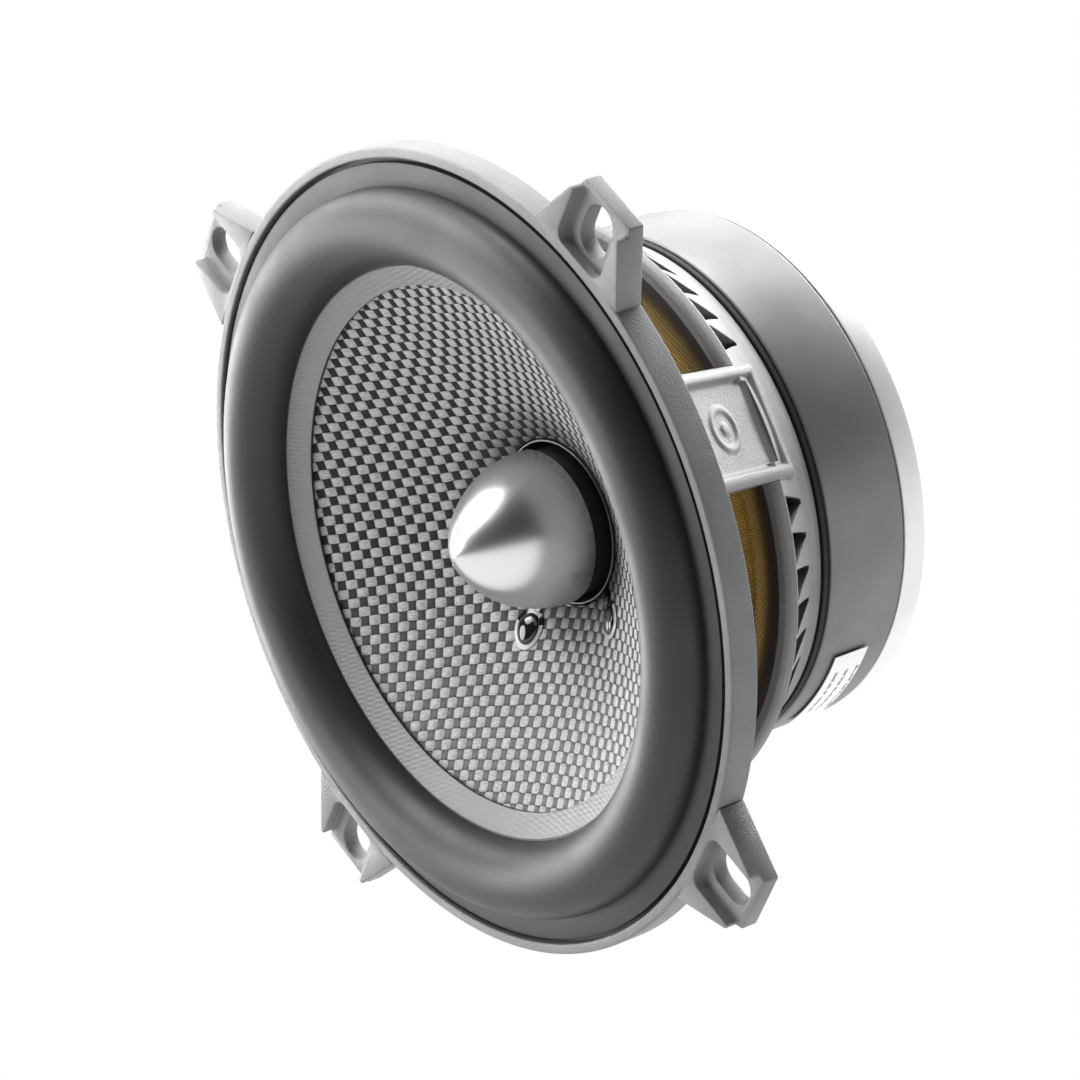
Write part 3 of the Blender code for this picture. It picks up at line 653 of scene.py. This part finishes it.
def make_spoke(angle):
    """One spoke: a plate with a rounded frame, a sunk panel and a plain raised mark."""
    across, along = 88, 108
    front_y, rear_y = -0.9, 27.4
    sides = [
        SPOKE_HALF * math.sin(math.pi / 2 * (2 * i / across - 1)) for i in range(across + 1)
    ]
    ys = [front_y + (rear_y - front_y) * j / along for j in range(along + 1)]
    vertices, faces = [], []
    for y in ys:
        for side in sides:
            vertices.append(polar(angle, spoke_outer_r(y) + spoke_height(side, y), y, side))
    width = across + 1
    for j in range(along):
        for i in range(across):
            a = j * width + i
            faces.append((a, a + 1, a + width + 1, a + width))

    # The inner face has few points: (y, radius) rows, chamfered at both sides
    inner = ((front_y, 56.4), (21.5, 47.35), (22.6, 46.9), (rear_y, 43.6))
    chamfer = 0.6
    under = len(vertices)
    for y, r in inner:
        for side in (-SPOKE_HALF, -SPOKE_HALF + chamfer, SPOKE_HALF - chamfer, SPOKE_HALF):
            lift = 0.45 if abs(side) == SPOKE_HALF else 0.0
            vertices.append(polar(angle, r + lift, y, side))
    for j in range(len(inner) - 1):
        for i in range(3):
            a = under + j * 4 + i
            faces.append((a, a + 4, a + 5, a + 1))

    # Two sides and two ends close the plate
    left_top = [j * width for j in range(along + 1)]
    right_top = [j * width + across for j in range(along + 1)]
    left_low = [under + j * 4 for j in range(len(inner))]
    right_low = [under + j * 4 + 3 for j in range(len(inner))]
    faces.append(tuple(left_top + left_low[::-1]))
    faces.append(tuple(right_low + right_top[::-1]))
    faces.append(tuple(list(range(width)) + list(range(under + 3, under - 1, -1))))
    last = along * width
    end = under + (len(inner) - 1) * 4
    rear_top = list(range(last + across, last - 1, -1))
    faces.append(tuple(list(range(end, end + 4)) + rear_top))
    return new_object("spoke", vertices, faces, None, 50.0)


def make_ear(angle):
    """One ear: a tapered plate with a pocket sunk from the front and a slot through it."""
    front, rear = FLANGE_FRONT + 0.02, -0.02
    root_r, tip_r, root_half, tip_half = 64.2, 75.9, 10.75, 5.6
    outline = [(-root_half, root_r), (root_half, root_r), (tip_half, tip_r), (-tip_half, tip_r)]
    ear = prism(
        "ear", [polar(angle, v, front, u) for u, v in outline], Vector((0, (rear - front) * MM, 0))
    )

    # The pocket opens wide beyond the slot, so the tip stays low
    corner, half, inner = 2.0, 5.3, 67.1
    low_r, wide, beyond = 74.5, 12, 79
    pocket = arc(-half + corner, inner, corner, 180, 270, 8)
    pocket += arc(half - corner, inner, corner, 270, 360, 8)
    pocket += [
        (half, low_r), (wide, low_r), (wide, beyond),
        (-wide, beyond), (-wide, low_r), (-half, low_r),
    ]
    slot_half = 3.0
    slot = arc(0, 71.6, slot_half, 0, 180, 20) + arc(0, 68.8, slot_half, 180, 360, 20)
    start_y = -7.0
    for outline, depth in ((pocket, 4.1), (slot, 9.0)):
        shape = [polar(angle, v, start_y, u) for u, v in outline]
        cut(ear, prism("tool", shape, Vector((0, depth * MM, 0))))
    soften(ear, 0.3, 2, 35.0)
    return ear


def make_vent_tool():
    """All triangles that are cut through the cup's wall, but for those at the terminals."""
    parts = []
    first = -(VENTS_PER_WINDOW - 1) / 2
    for window in WINDOW_ANGLES:
        for k in range(VENTS_PER_WINDOW):
            middle = window + (first + k) * VENT_PITCH
            if abs(middle - TERMINAL_ANGLE) < VENT_PITCH * 1.5:
                continue
            inner, outer = (
                [
                    polar(middle - VENT_FRONT_HALF, r, VENT_FRONT_Y),
                    polar(middle + VENT_FRONT_HALF, r, VENT_FRONT_Y),
                    polar(middle + VENT_REAR_HALF, r, VENT_REAR_Y),
                    polar(middle - VENT_REAR_HALF, r, VENT_REAR_Y),
                ]
                for r in VENT_CUT_R
            )
            parts.append(loft("vent", inner, outer))
    return joined("vents", parts)


def make_cup():
    """The cup round the spider, with vents, holes in its floor and room behind the panels."""
    cup = lathe("cup", rounded((
        (46.3, 20.5, 0.25), (47.7, 20.5, 0.3), (48.4, 21.2, 0.4), (48.4, 22.55, 0.25),
        (43.5, 29.3, 0.8), (41.9, 33.1, 0.3), (40.3, 33.1), (40.3, 30.9),
        (16.2, 30.9, 0.4), (16.2, 28.7, 0.4), (39.4, 28.7, 1.0), (43.2, 23.4, 0.5),
        (42.8, 21.9, 0.2), (46.3, 21.9),
    )))
    cut(cup, make_vent_tool())
    hole_r, hole_at_r, hole_y = 1.9, 30.0, 27.0
    for angle in WINDOW_ANGLES:
        middle = polar(angle, hole_at_r, hole_y)
        outline = [middle + way * hole_r * MM for way in circle(24)]
        cut(cup, prism("hole", outline, Vector((0, 5 * MM, 0))))
    behind = ((46.9, 20.2), (49.5, 20.2), (49.5, 23.9), (46.9, 23.9))
    for angle in SPOKE_ANGLES:
        side = polar(angle, 0.0, 0.0, 6.6)
        outline = [polar(angle, r, y) - side for r, y in behind]
        cut(cup, prism("behind_panel", outline, 2 * side))
    shade(cup, 32)
    return cup


def make_basket(paint):
    """The casting: flange, cup, spokes, ears and the pad that holds the terminals."""
    flange = lathe("flange", rounded((
        (63.3, -5.0, 0.35), (65.0, -5.0, 0.5), (65.0, 0.0, 0.15), (57.5, 0.0, 0.5),
        (57.5, -3.1, 0.2), (63.3, -3.1, 0.1),
    )))
    cup = make_cup()
    pad_r, pad_depth, pad_half, pad_front, pad_rear = 46.6, 4.0, 6.0, 19.4, 23.6
    corners = (
        (-pad_half, pad_front), (pad_half, pad_front), (pad_half, pad_rear), (-pad_half, pad_rear),
    )
    pad = prism(
        "pad", [polar(TERMINAL_ANGLE, pad_r, y, side) for side, y in corners],
        polar(TERMINAL_ANGLE, pad_depth, 0),
    )
    soften(pad, 0.35)
    parts = [flange, cup, pad]
    parts += [make_spoke(angle) for angle in SPOKE_ANGLES]
    parts += [make_ear(angle) for angle in EAR_ANGLES]
    basket = joined("cast_basket", parts)
    basket.data.materials.append(paint)
    place(basket, FRAME_BODY, "basket")


# ---------------------------------------------------------------- soft parts

def radial_blend(piece, inner_r, outer_r):
    """Work out each point's share between the cone, at the ring's inner radius, and the frame, at
    its outer one, from its radius. The shares are not stored, so the ring doesn't bend.
    """
    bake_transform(piece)
    points = np.empty(len(piece.data.vertices) * 3)
    piece.data.vertices.foreach_get("co", points)
    points = points.reshape(-1, 3)
    radius = np.hypot(points[:, 0], points[:, 2]) / MM
    share = np.clip((outer_r - radius) / (outer_r - inner_r), 0, 1)
    share = share * share * (3 - 2 * share)


def roll(rise, middle, half, outer_y, inner_y, steps):
    """Profile of a half-roll, from its outer foot to its inner one."""
    points = []
    for k in range(steps + 1):
        t = math.pi * k / steps
        share = k / steps
        foot = outer_y * (1 - share) + inner_y * share
        points.append((middle + half * math.cos(t), foot - rise * math.sin(t)))
    return points


def make_surround(rubber, lip):
    """Rubber ring: a flat outer lip, a half-roll and an inner lip glued to the cone."""
    front = roll(5.8, 52.75, 6.2, -5.0, -4.25, 40)
    back = roll(5.2, 52.75, 5.55, -4.5, -3.75, 30)
    profile = rounded(((62.6, -3.4, 0.1), (62.6, -5.0, 0.35)))
    profile += [(61.0, -5.02), (59.4, -5.0)] + front
    profile += rounded((
        (46.3, -4.25, 0.15), (42.62, -2.08, 0.1), (42.62, -1.6, 0.1), (46.0, -3.55, 0.1),
    ))
    profile += list(reversed(back)) + [(58.4, -3.4)]
    surround = lathe("roll_surround", profile, rubber, STEPS, 50.0)
    surround.data.materials.append(lip)
    # The inner lip's forward faces take the paler rubber: partly its own grey, partly painted
    # light in place of light from the front
    for face in surround.data.polygons:
        centre = face.center / MM
        on_lip = math.hypot(centre.x, centre.z) < LIP_BAND_R and centre.y < -2.0
        if on_lip and face.normal.y < -0.3:
            face.material_index = 1
    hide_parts("surround")
    radial_blend(surround, SURROUND_INNER_R, SURROUND_OUTER_R)


def make_spider(cloth):
    """Corrugated disc between the former and the cup. Its folds fade out at both ends."""
    steps, fade = 160, 0.06
    line = [(13.8, SPIDER_Y), (SPIDER_INNER_R, SPIDER_Y)]
    for k in range(1, steps):
        share = k / steps
        r = SPIDER_INNER_R + (SPIDER_OUTER_R - SPIDER_INNER_R) * share
        ease = smooth_step(share, 0.0, fade) * (1.0 - smooth_step(share, 1.0 - fade, 1.0))
        fold = math.sin(math.tau * SPIDER_FOLDS * share)
        line.append((r, SPIDER_Y + SPIDER_FOLD_HEIGHT * ease * fold))
    line += [(SPIDER_OUTER_R, SPIDER_Y), (45.9, SPIDER_Y)]
    profile = line + [(r, y + SPIDER_T) for r, y in reversed(line)]
    spider = lathe("spider_disc", profile, cloth, STEPS, 60.0)
    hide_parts("spider")
    radial_blend(spider, SPIDER_INNER_R, SPIDER_OUTER_R)


# ---------------------------------------------------------------- moving parts

def cone_y(r):
    """y of the cone's front face at a radius."""
    (r0, y0), (r1, y1) = CONE_NECK, CONE_EDGE
    return y0 + (y1 - y0) * (r - r0) / (r1 - r0)


def cone_frame(angle, radius):
    """A point on the cone's face, and its ways outwards, sideways and off the face."""
    point = polar(angle, radius, cone_y(radius))
    along = (polar(angle, radius + 1, cone_y(radius + 1)) - point).normalized()
    side = polar(angle, 0, 0, 1).normalized()
    normal = side.cross(along)
    if normal.y > 0:
        normal = -normal
    return point, along, side, normal


def make_cone(cloth):
    steps = 24
    (neck_r, neck_y), (edge_r, edge_y) = CONE_NECK, CONE_EDGE
    radii = [neck_r + (edge_r - neck_r) * k / steps for k in range(steps + 1)]
    profile = [(r, cone_y(r)) for r in radii]
    profile += [(edge_r, edge_y + CONE_T), (neck_r, neck_y + CONE_T)]
    cone = lathe("woven_cone", profile, cloth, STEPS, 40.0)
    place(cone, CONE_BODY, "cone")


def make_coil(foil, copper, glue):
    """The voice coil, and the bead of glue that joins it to the cone."""
    former = lathe("former", ring_profile(13.15, 13.45, 15.0, 38.0, 0.08), foil)
    place(former, CONE_BODY, "voice_coil_former")
    winding = lathe("winding", ring_profile(13.75, 14.3, 27.5, 37.5, 0.1), copper)
    place(winding, CONE_BODY, "voice_coil_winding")
    bead = rounded(((13.8, 16.9, 0.2), (16.6, 15.35, 0.5), (13.8, 19.2, 0.4)), 6)
    ring = lathe("neck_glue", bead, glue)
    place(ring, CONE_BODY, "neck_glue_ring")


def make_drop(name, base, ways, glue, skirt_pale_grey):
    """An oval drop of glue with a smooth crown, and a thinner skirt that is pale on one side."""
    along, side, normal = ways
    length, width, height = (v * MM for v in (3.3, 2.9, 0.93))
    rings, around, lump = 16, 48, 0.06
    skirt_share, pale_rings = 0.3, 4
    vertices = []
    for i in range(rings + 1):
        share = i / rings
        if share < skirt_share:
            reach, lift = 1.0 - share * 0.9, share * 0.5
        else:
            climb = math.pi / 2 * (share - skirt_share) / (1.0 - skirt_share)
            reach, lift = 0.73 * math.cos(climb), 0.15 + 0.85 * math.sin(climb)
        for k in range(around):
            a = math.tau * k / around
            wobble = 1.0 + lump * math.sin(2 * a + 0.6) + lump * 0.6 * math.sin(3 * a)
            vertices.append(
                base + along * length * reach * wobble * math.cos(a)
                + side * width * reach * wobble * math.sin(a) + normal * height * lift
            )
    faces = tube_faces(around, rings)
    faces.append(tuple(range(around)))
    drop = new_object(name, vertices, faces, glue, 60.0)
    drop.data.materials.append(skirt_pale_grey)
    # The skirt's faces on one side are coloured pale grey
    for number, face in enumerate(drop.data.polygons[: pale_rings * around]):
        angle = math.tau * ((number % around) + 0.5) / around
        if math.cos(angle - math.radians(20)) > -0.35:
            face.material_index = 1
    return drop


def make_lead_outs(glue, skirt_pale_grey, solder):
    """For each lead: a drop of glue, the covered wire from the neck to it, and the eyelet."""
    for name, angle, _ in LEADS:
        point, *ways = cone_frame(angle, LEAD_R)
        normal = ways[2]
        drop = make_drop(f"drop_{name}", point + normal * 0.25 * MM, ways, glue, skirt_pale_grey)
        place(drop, CONE_BODY, f"glue_drop_{name}")

        start, along, side, lift = cone_frame(angle, CONE_NECK[0] + 0.2)
        section = ((0.75, 0.25), (-0.75, 0.25), (-0.55, 0.66), (0.55, 0.66))
        outline = [start + side * s * MM + lift * h * MM for s, h in section]
        strip = prism(f"lead_out_{name}", outline, along * 3.2 * MM, glue)
        soften(strip, 0.15, 3)
        place(strip, CONE_BODY, f"coil_lead_{name}")

        back = point - normal * (CONE_T + EYELET_GAP) * MM
        turn = normal.to_track_quat("Z", "Y")
        outline = [back + turn @ Vector((way.x, way.z, 0)) * 1.45 * MM for way in circle(32)]
        eyelet = prism(f"eyelet_{name}", outline, -normal * 0.78 * MM, solder)
        soften(eyelet, 0.2, 3)
        place(eyelet, CONE_BODY, f"lead_eyelet_{name}")


# ---------------------------------------------------------------- motor

def make_motor(black_steel, coat, zinc, shaded_turned_steel):
    """The motor from front to rear: top plate, magnet, back plate, and the pole inside."""
    top = lathe("motor_top_plate", rounded((
        (14.8, 31.2, 0.2), (39.9, 31.2, 0.3), (39.9, 33.4), (42.2, 33.4, 0.25),
        (42.2, 34.35, 0.25), (14.8, 34.35, 0.2),
    )), black_steel)
    place(top, FRAME_BODY, "top_plate")
    magnet = lathe("ring_magnet", ring_profile(21.0, 42.5, 34.65, 49.75, 0.45), coat)
    place(magnet, FRAME_BODY, "magnet")
    back = lathe("motor_back_plate", rounded((
        (12.95, 50.05, 0.2), (42.5, 50.05, 0.3), (42.5, 55.0, 1.2), (12.95, 55.0, 0.3),
    ), 6), zinc)
    # The back plate's rear face is darker than its side: painted shade
    shade_rear_faces(back, shaded_turned_steel)
    place(back, FRAME_BODY, "back_plate")
    pole = lathe("pole", rounded((
        (2.4, 30.5, 0.2), (12.6, 30.5, 0.6), (12.6, 55.0, 0.3), (4.4, 55.0, 0.3),
        (4.4, 51.4), (2.4, 51.4),
    )), zinc)
    # The pole's rear face is darker than its side: painted shade
    shade_rear_faces(pole, shaded_turned_steel)
    place(pole, FRAME_BODY, "pole_piece")


def make_plug(metal, black, zinc):
    """The bullet, whose outline is one arc, on its collar, with the long bolt behind it."""
    tip, base, radius = -6.0, 12.2, 12.6
    length = base - tip
    arc_r = (length ** 2 + radius ** 2) / (2 * radius)
    steps, crowding = 72, 1.9       # the points lie closer together towards the tip
    profile = [(0.0, tip)]
    for k in range(1, steps + 1):
        y = tip + length * (k / steps) ** crowding
        profile.append((math.sqrt(arc_r ** 2 - (base - y) ** 2) - (arc_r - radius), y))
    hole_r, hole_end = 2.4, 4.2
    profile += [(radius, base - 0.02), (radius - 0.25, base)]
    profile += [(hole_r, base), (hole_r, hole_end), (0.0, hole_end)]
    plug = lathe("bullet_plug", profile, metal, STEPS, 40.0)
    place(plug, FRAME_BODY, "phase_plug")
    spacer = lathe("plug_collar", ring_profile(hole_r, 12.0, 12.5, 30.2, 0.3), black)
    place(spacer, FRAME_BODY, "plug_spacer")
    bolt = lathe("plug_screw", rounded((
        (0.0, 5.2), (2.0, 5.2, 0.3), (2.0, 51.7), (3.8, 51.7, 0.2), (3.8, 54.7, 0.5), (0.0, 54.7),
    )), zinc, 64)
    socket_r, socket_floor = 1.75, Vector((0, 52.7 * MM, 0))
    hexagon = [way * socket_r * MM + socket_floor for way in circle(6)]
    cut(bolt, prism("socket", hexagon, Vector((0, 4 * MM, 0))))
    shade(bolt, 35)
    place(bolt, FRAME_BODY, "plug_bolt")


def make_sticker(paper):
    """A thin sheet that follows the magnet's side."""
    start, sweep, steps = -66.0, 25.5, 40
    inner_r, outer_r, front_y, width = 42.82, 42.98, 38.3, 6.8
    angles = [start + sweep * k / steps for k in range(steps + 1)]
    outline = [polar(a, outer_r, front_y) for a in angles]
    outline += [polar(a, inner_r, front_y) for a in reversed(angles)]
    label = prism("sticker", outline, Vector((0, width * MM, 0)), paper)
    place(label, FRAME_BODY, "magnet_label")


# ---------------------------------------------------------------- terminals

def make_board(phenolic):
    half, long, corner = 12.5, 7.0, 1
    outline = []
    for s, y, start in ((1, 1, 0), (-1, 1, 90), (-1, -1, 180), (1, -1, 270)):
        outline += arc(s * (half - corner), y * (long - corner), corner, start, start + 90, 5)
    out = polar(TERMINAL_ANGLE, 1, 0).normalized()
    board = prism(
        "tag_board", [polar(TERMINAL_ANGLE, BOARD_R, BOARD_Y + y, s) for s, y in outline],
        out * BOARD_T * MM, phenolic,
    )
    soften(board, 0.12)
    place(board, FRAME_BODY, "terminal_board")


def make_rivets(zinc):
    out = polar(TERMINAL_ANGLE, 1, 0).normalized()
    inwards = Vector((0, 1, 0)).rotation_difference(-out).to_matrix().to_4x4()
    head_r, y = 53.6, 21.5
    for number, side in enumerate((-3.5, 3.5), 1):
        profile = rounded((
            (0.0, 0.0), (2.3, 0.0, 0.7), (2.3, 0.8, 0.1), (1.3, 0.8), (1.3, 7.1, 0.3), (0.0, 7.1),
        ))
        rivet = lathe(f"rivet_{number}", profile, zinc, 48)
        at = Matrix.Translation(polar(TERMINAL_ANGLE, head_r, y, side))
        rivet.data.transform(at @ inwards)
        place(rivet, FRAME_BODY, f"terminal_rivet_{number}")


def make_tabs(brass):
    """Flat tabs that stand out from the board, each with a small hole near its end."""
    face_r = BOARD_R + BOARD_T
    hole_r, hole_lift, hole_start = 0.8, 5.0, 12.0
    section = [
        (13.5, 0.3), (18.5, 0.3), (18.5, 1.1), (14.7, 1.1), (14.3, 1.5), (14.3, 8.0), (13.5, 8.0),
    ]
    for (name, _, offset), width in zip(LEADS, TAB_WIDTHS):
        outline = [
            polar(TERMINAL_ANGLE, face_r + lift, y, offset - width / 2) for y, lift in section
        ]
        tab = prism(f"tab_{name}", outline, polar(TERMINAL_ANGLE, 0, 0, width), brass)
        hole = [
            polar(
                TERMINAL_ANGLE, face_r + hole_lift + hole_r * way.x, hole_start,
                offset + hole_r * way.z,
            )
            for way in circle(24)
        ]
        cut(tab, prism("hole", hole, Vector((0, 4 * MM, 0))))
        soften(tab, 0.12)
        place(tab, FRAME_BODY, f"{name}_tab")


def smooth_route(points, per_span):
    """Points of a smooth curve (Catmull-Rom) through the given ones."""
    spots = [points[0] * 2 - points[1], *points, points[-1] * 2 - points[-2]]
    route = []
    for a, b, c, d in zip(spots, spots[1:], spots[2:], spots[3:]):
        for k in range(per_span):
            t = k / per_span
            route.append(0.5 * (
                2 * b + (c - a) * t + (2 * a - 5 * b + 4 * c - d) * t ** 2
                + (3 * b - a - 3 * c + d) * t ** 3
            ))
    return route + [points[-1]]


def make_lead(name, eyelet_angle, board_side, braid):
    """A tinsel lead from the board's inner face to the eyelet behind the cone."""
    gap, wire_room, eyelet_t, start_y = 0.3, 0.6, 0.8, 14.0
    inner = BOARD_R - gap - wire_room
    point, _, _, normal = cone_frame(eyelet_angle, LEAD_R)
    behind = CONE_T + EYELET_GAP + eyelet_t + gap + wire_room
    start_angle = TERMINAL_ANGLE + math.degrees(board_side / inner)
    swing = eyelet_angle - start_angle
    route = smooth_route([
        polar(TERMINAL_ANGLE, inner, start_y, board_side),
        polar(start_angle, 43.0, 13.6),
        polar(start_angle + swing * 0.35, 34.0, 15.0),
        polar(start_angle + swing * 0.75, 25.5, 15.3),
        point - normal * behind * MM,
    ], 14)
    around, twist, strand = 14, 0.35, 0.06      # three strands swell the wire as they twist
    vertices, shares = [], []
    total = len(route) - 1
    for i, spot in enumerate(route):
        ahead = route[min(i + 1, total)] - route[max(i - 1, 0)]
        turn = ahead.to_track_quat("Z", "Y")
        for k in range(around):
            a = math.tau * k / around + i * twist
            lump = 1.0 + strand * math.cos(3 * math.tau * k / around)
            way = turn @ Vector((math.cos(a), math.sin(a), 0))
            vertices.append(spot + way * WIRE_R * 0.94 * lump * MM)
            shares.append(smooth_step(i / total, 0.0, 1.0))
    faces = tube_faces(around, total)
    faces.append(tuple(range(around)))
    faces.append(tuple(range(total * around, (total + 1) * around)))
    lead = new_object(f"lead_{name}", vertices, faces, braid, 60.0)
    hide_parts(f"tinsel_lead_{name}")
    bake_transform(lead)


# ---------------------------------------------------------------- stage

def make_camera():
    data = bpy.data.cameras.new("camera")
    data.lens = CAMERA_LENS
    data.sensor_width = SENSOR_WIDTH
    data.sensor_fit = "HORIZONTAL"
    data.clip_start = 0.01
    data.clip_end = 50.0
    camera = bpy.data.objects.new("camera", data)
    bpy.context.scene.collection.objects.link(camera)
    turn = Matrix((CAMERA_RIGHT, CAMERA_UP, CAMERA_BACK)).transposed()
    camera.matrix_world = Matrix.Translation(Vector(CAMERA_AT) * MM) @ turn.to_4x4()
    bpy.context.scene.camera = camera


def camera_way(right, up, back):
    """A direction stated by the camera's right, up and back."""
    way = Vector(CAMERA_RIGHT) * right + Vector(CAMERA_UP) * up + Vector(CAMERA_BACK) * back
    return way.normalized()


def add_lamp(name, way, power, size, distance):
    """A round lamp that shines on the origin and that the camera doesn't see."""
    data = bpy.data.lights.new(name, "AREA")
    data.shape = "DISK"
    data.size = size
    data.energy = power
    lamp = bpy.data.objects.new(name, data)
    bpy.context.scene.collection.objects.link(lamp)
    spot = camera_way(*way)
    turn = spot.to_track_quat("Z", "Y").to_matrix().to_4x4()
    lamp.matrix_world = Matrix.Translation(spot * distance) @ turn
    lamp.visible_camera = False


def make_lights():
    """Large soft lamps at the sides and behind, and a small near one, in a dim room."""
    for number, (way, power) in enumerate(LAMPS):
        add_lamp(f"lamp_{number}", way, power, LAMP_SIZE, LAMP_DISTANCE)
    add_lamp("lamp_near", *NEAR_LAMP, NEAR_LAMP_SIZE, NEAR_LAMP_DISTANCE)
    world = bpy.data.worlds.new("studio")
    bpy.context.scene.world = world
    world.use_nodes = True
    glow(world.node_tree, "ShaderNodeBackground", "ShaderNodeOutputWorld", ROOM_GLOW)


def glow(tree, kind, output_kind, strength):
    """White to the camera, and as light only as strong as stated."""
    tree.nodes.clear()
    n = Nodes(tree)
    lit, seen = n.add(kind), n.add(kind)
    for node, value in ((lit, strength), (seen, 1.0)):
        node.inputs["Color"].default_value = rgba(1, 1, 1)
        node.inputs["Strength"].default_value = value
    mixed = n.add("ShaderNodeMixShader")
    n.put(mixed.inputs[0], n.add("ShaderNodeLightPath").outputs["Is Camera Ray"])
    n.put(mixed.inputs[1], lit.outputs[0])
    n.put(mixed.inputs[2], seen.outputs[0])
    n.put(n.add(output_kind).inputs["Surface"], mixed.outputs[0])


def make_floor():
    pale = bpy.data.materials.new("floor_white")
    pale.use_nodes = True
    glow(pale.node_tree, "ShaderNodeEmission", "ShaderNodeOutputMaterial", FLOOR_GLOW)
    corners = [
        (x * FLOOR_HALF, y * FLOOR_HALF, FLOOR_Z) for x, y in ((-1, -1), (1, -1), (1, 1), (-1, 1))
    ]
    floor = new_object("floor", corners, [(0, 1, 2, 3)], pale)


def main():
    scene = bpy.context.scene
    scene.view_settings.view_transform = "Standard"
    scene.view_settings.look = "None"

    paint = grained(
        "basket_cast_paint", (0.17, 0.174, 0.174), 0.5, grain=0.13, size=3000.0, edge=0.3
    )
    rubber = make_rubber("surround_butyl", (0.012, 0.012, 0.012), 0.48)
    # The lip's pale grey is partly its own and partly painted light, in place of light from the
    # front
    lip = make_rubber("surround_lip", (0.2, 0.2, 0.198), 0.45, rib=0.045)
    weave = make_weave()
    amber = make_spider_cloth()
    black_steel = grained("black_oxide", (0.006, 0.006, 0.006), 0.7, grain=0.03, edge=0.0)
    smooth = {"grain": 0.0, "edge": 0.0}
    coat = grained("magnet_grey", (0.18, 0.183, 0.183), 0.46, 0.6, mottle=0.1, **smooth)
    zinc = grained("zinc_plate", (0.78, 0.78, 0.77), 0.46, 0.55, mottle=0.05, **smooth)
    metal = plain("satin_aluminium", (0.64, 0.64, 0.645), 0.3, 1.0)
    black = grained("collar_black", (0.015, 0.015, 0.015), 0.35, grain=0.01)
    foil = plain("former_foil_metal", (0.2, 0.2, 0.2), 0.5, 1.0)
    glue = plain("dried_black_glue", (0.008, 0.008, 0.008), 0.08, Coat_Weight=0.5)
    skirt_pale_grey = plain("drop_skirt_pale_grey", (0.34, 0.34, 0.33), 0.22)
    solder = grained("solder_tin", (0.7, 0.7, 0.7), 0.25, 1.0)
    phenolic = grained("phenolic_brown", (0.2, 0.095, 0.04), 0.5, edge=0.1)
    brass = grained("tinned_tab", (0.5, 0.47, 0.39), 0.3, 1.0, grain=0.01, edge=0.1)
    shaded_turned_steel = make_shaded_turned_steel()
    copper = make_winding()
    braid = make_braid()
    paper = make_label()

    make_basket(paint)
    make_surround(rubber, lip)
    make_spider(amber)
    make_cone(weave)
    make_coil(foil, copper, glue)
    make_lead_outs(glue, skirt_pale_grey, solder)
    make_motor(black_steel, coat, zinc, shaded_turned_steel)
    make_plug(metal, black, zinc)
    make_sticker(paper)
    make_board(phenolic)
    make_rivets(zinc)
    make_tabs(brass)
    for name, angle, board_side in LEADS:
        make_lead(name, angle, board_side, braid)

    # The motor screws keep their CAD shape, with a plated material
    for number in range(1, 5):
        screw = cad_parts[f"motor_screw_{number}"]
        screw.data.materials.clear()
        screw.data.materials.append(zinc)

    make_camera()
    make_lights()
    make_floor()


main()
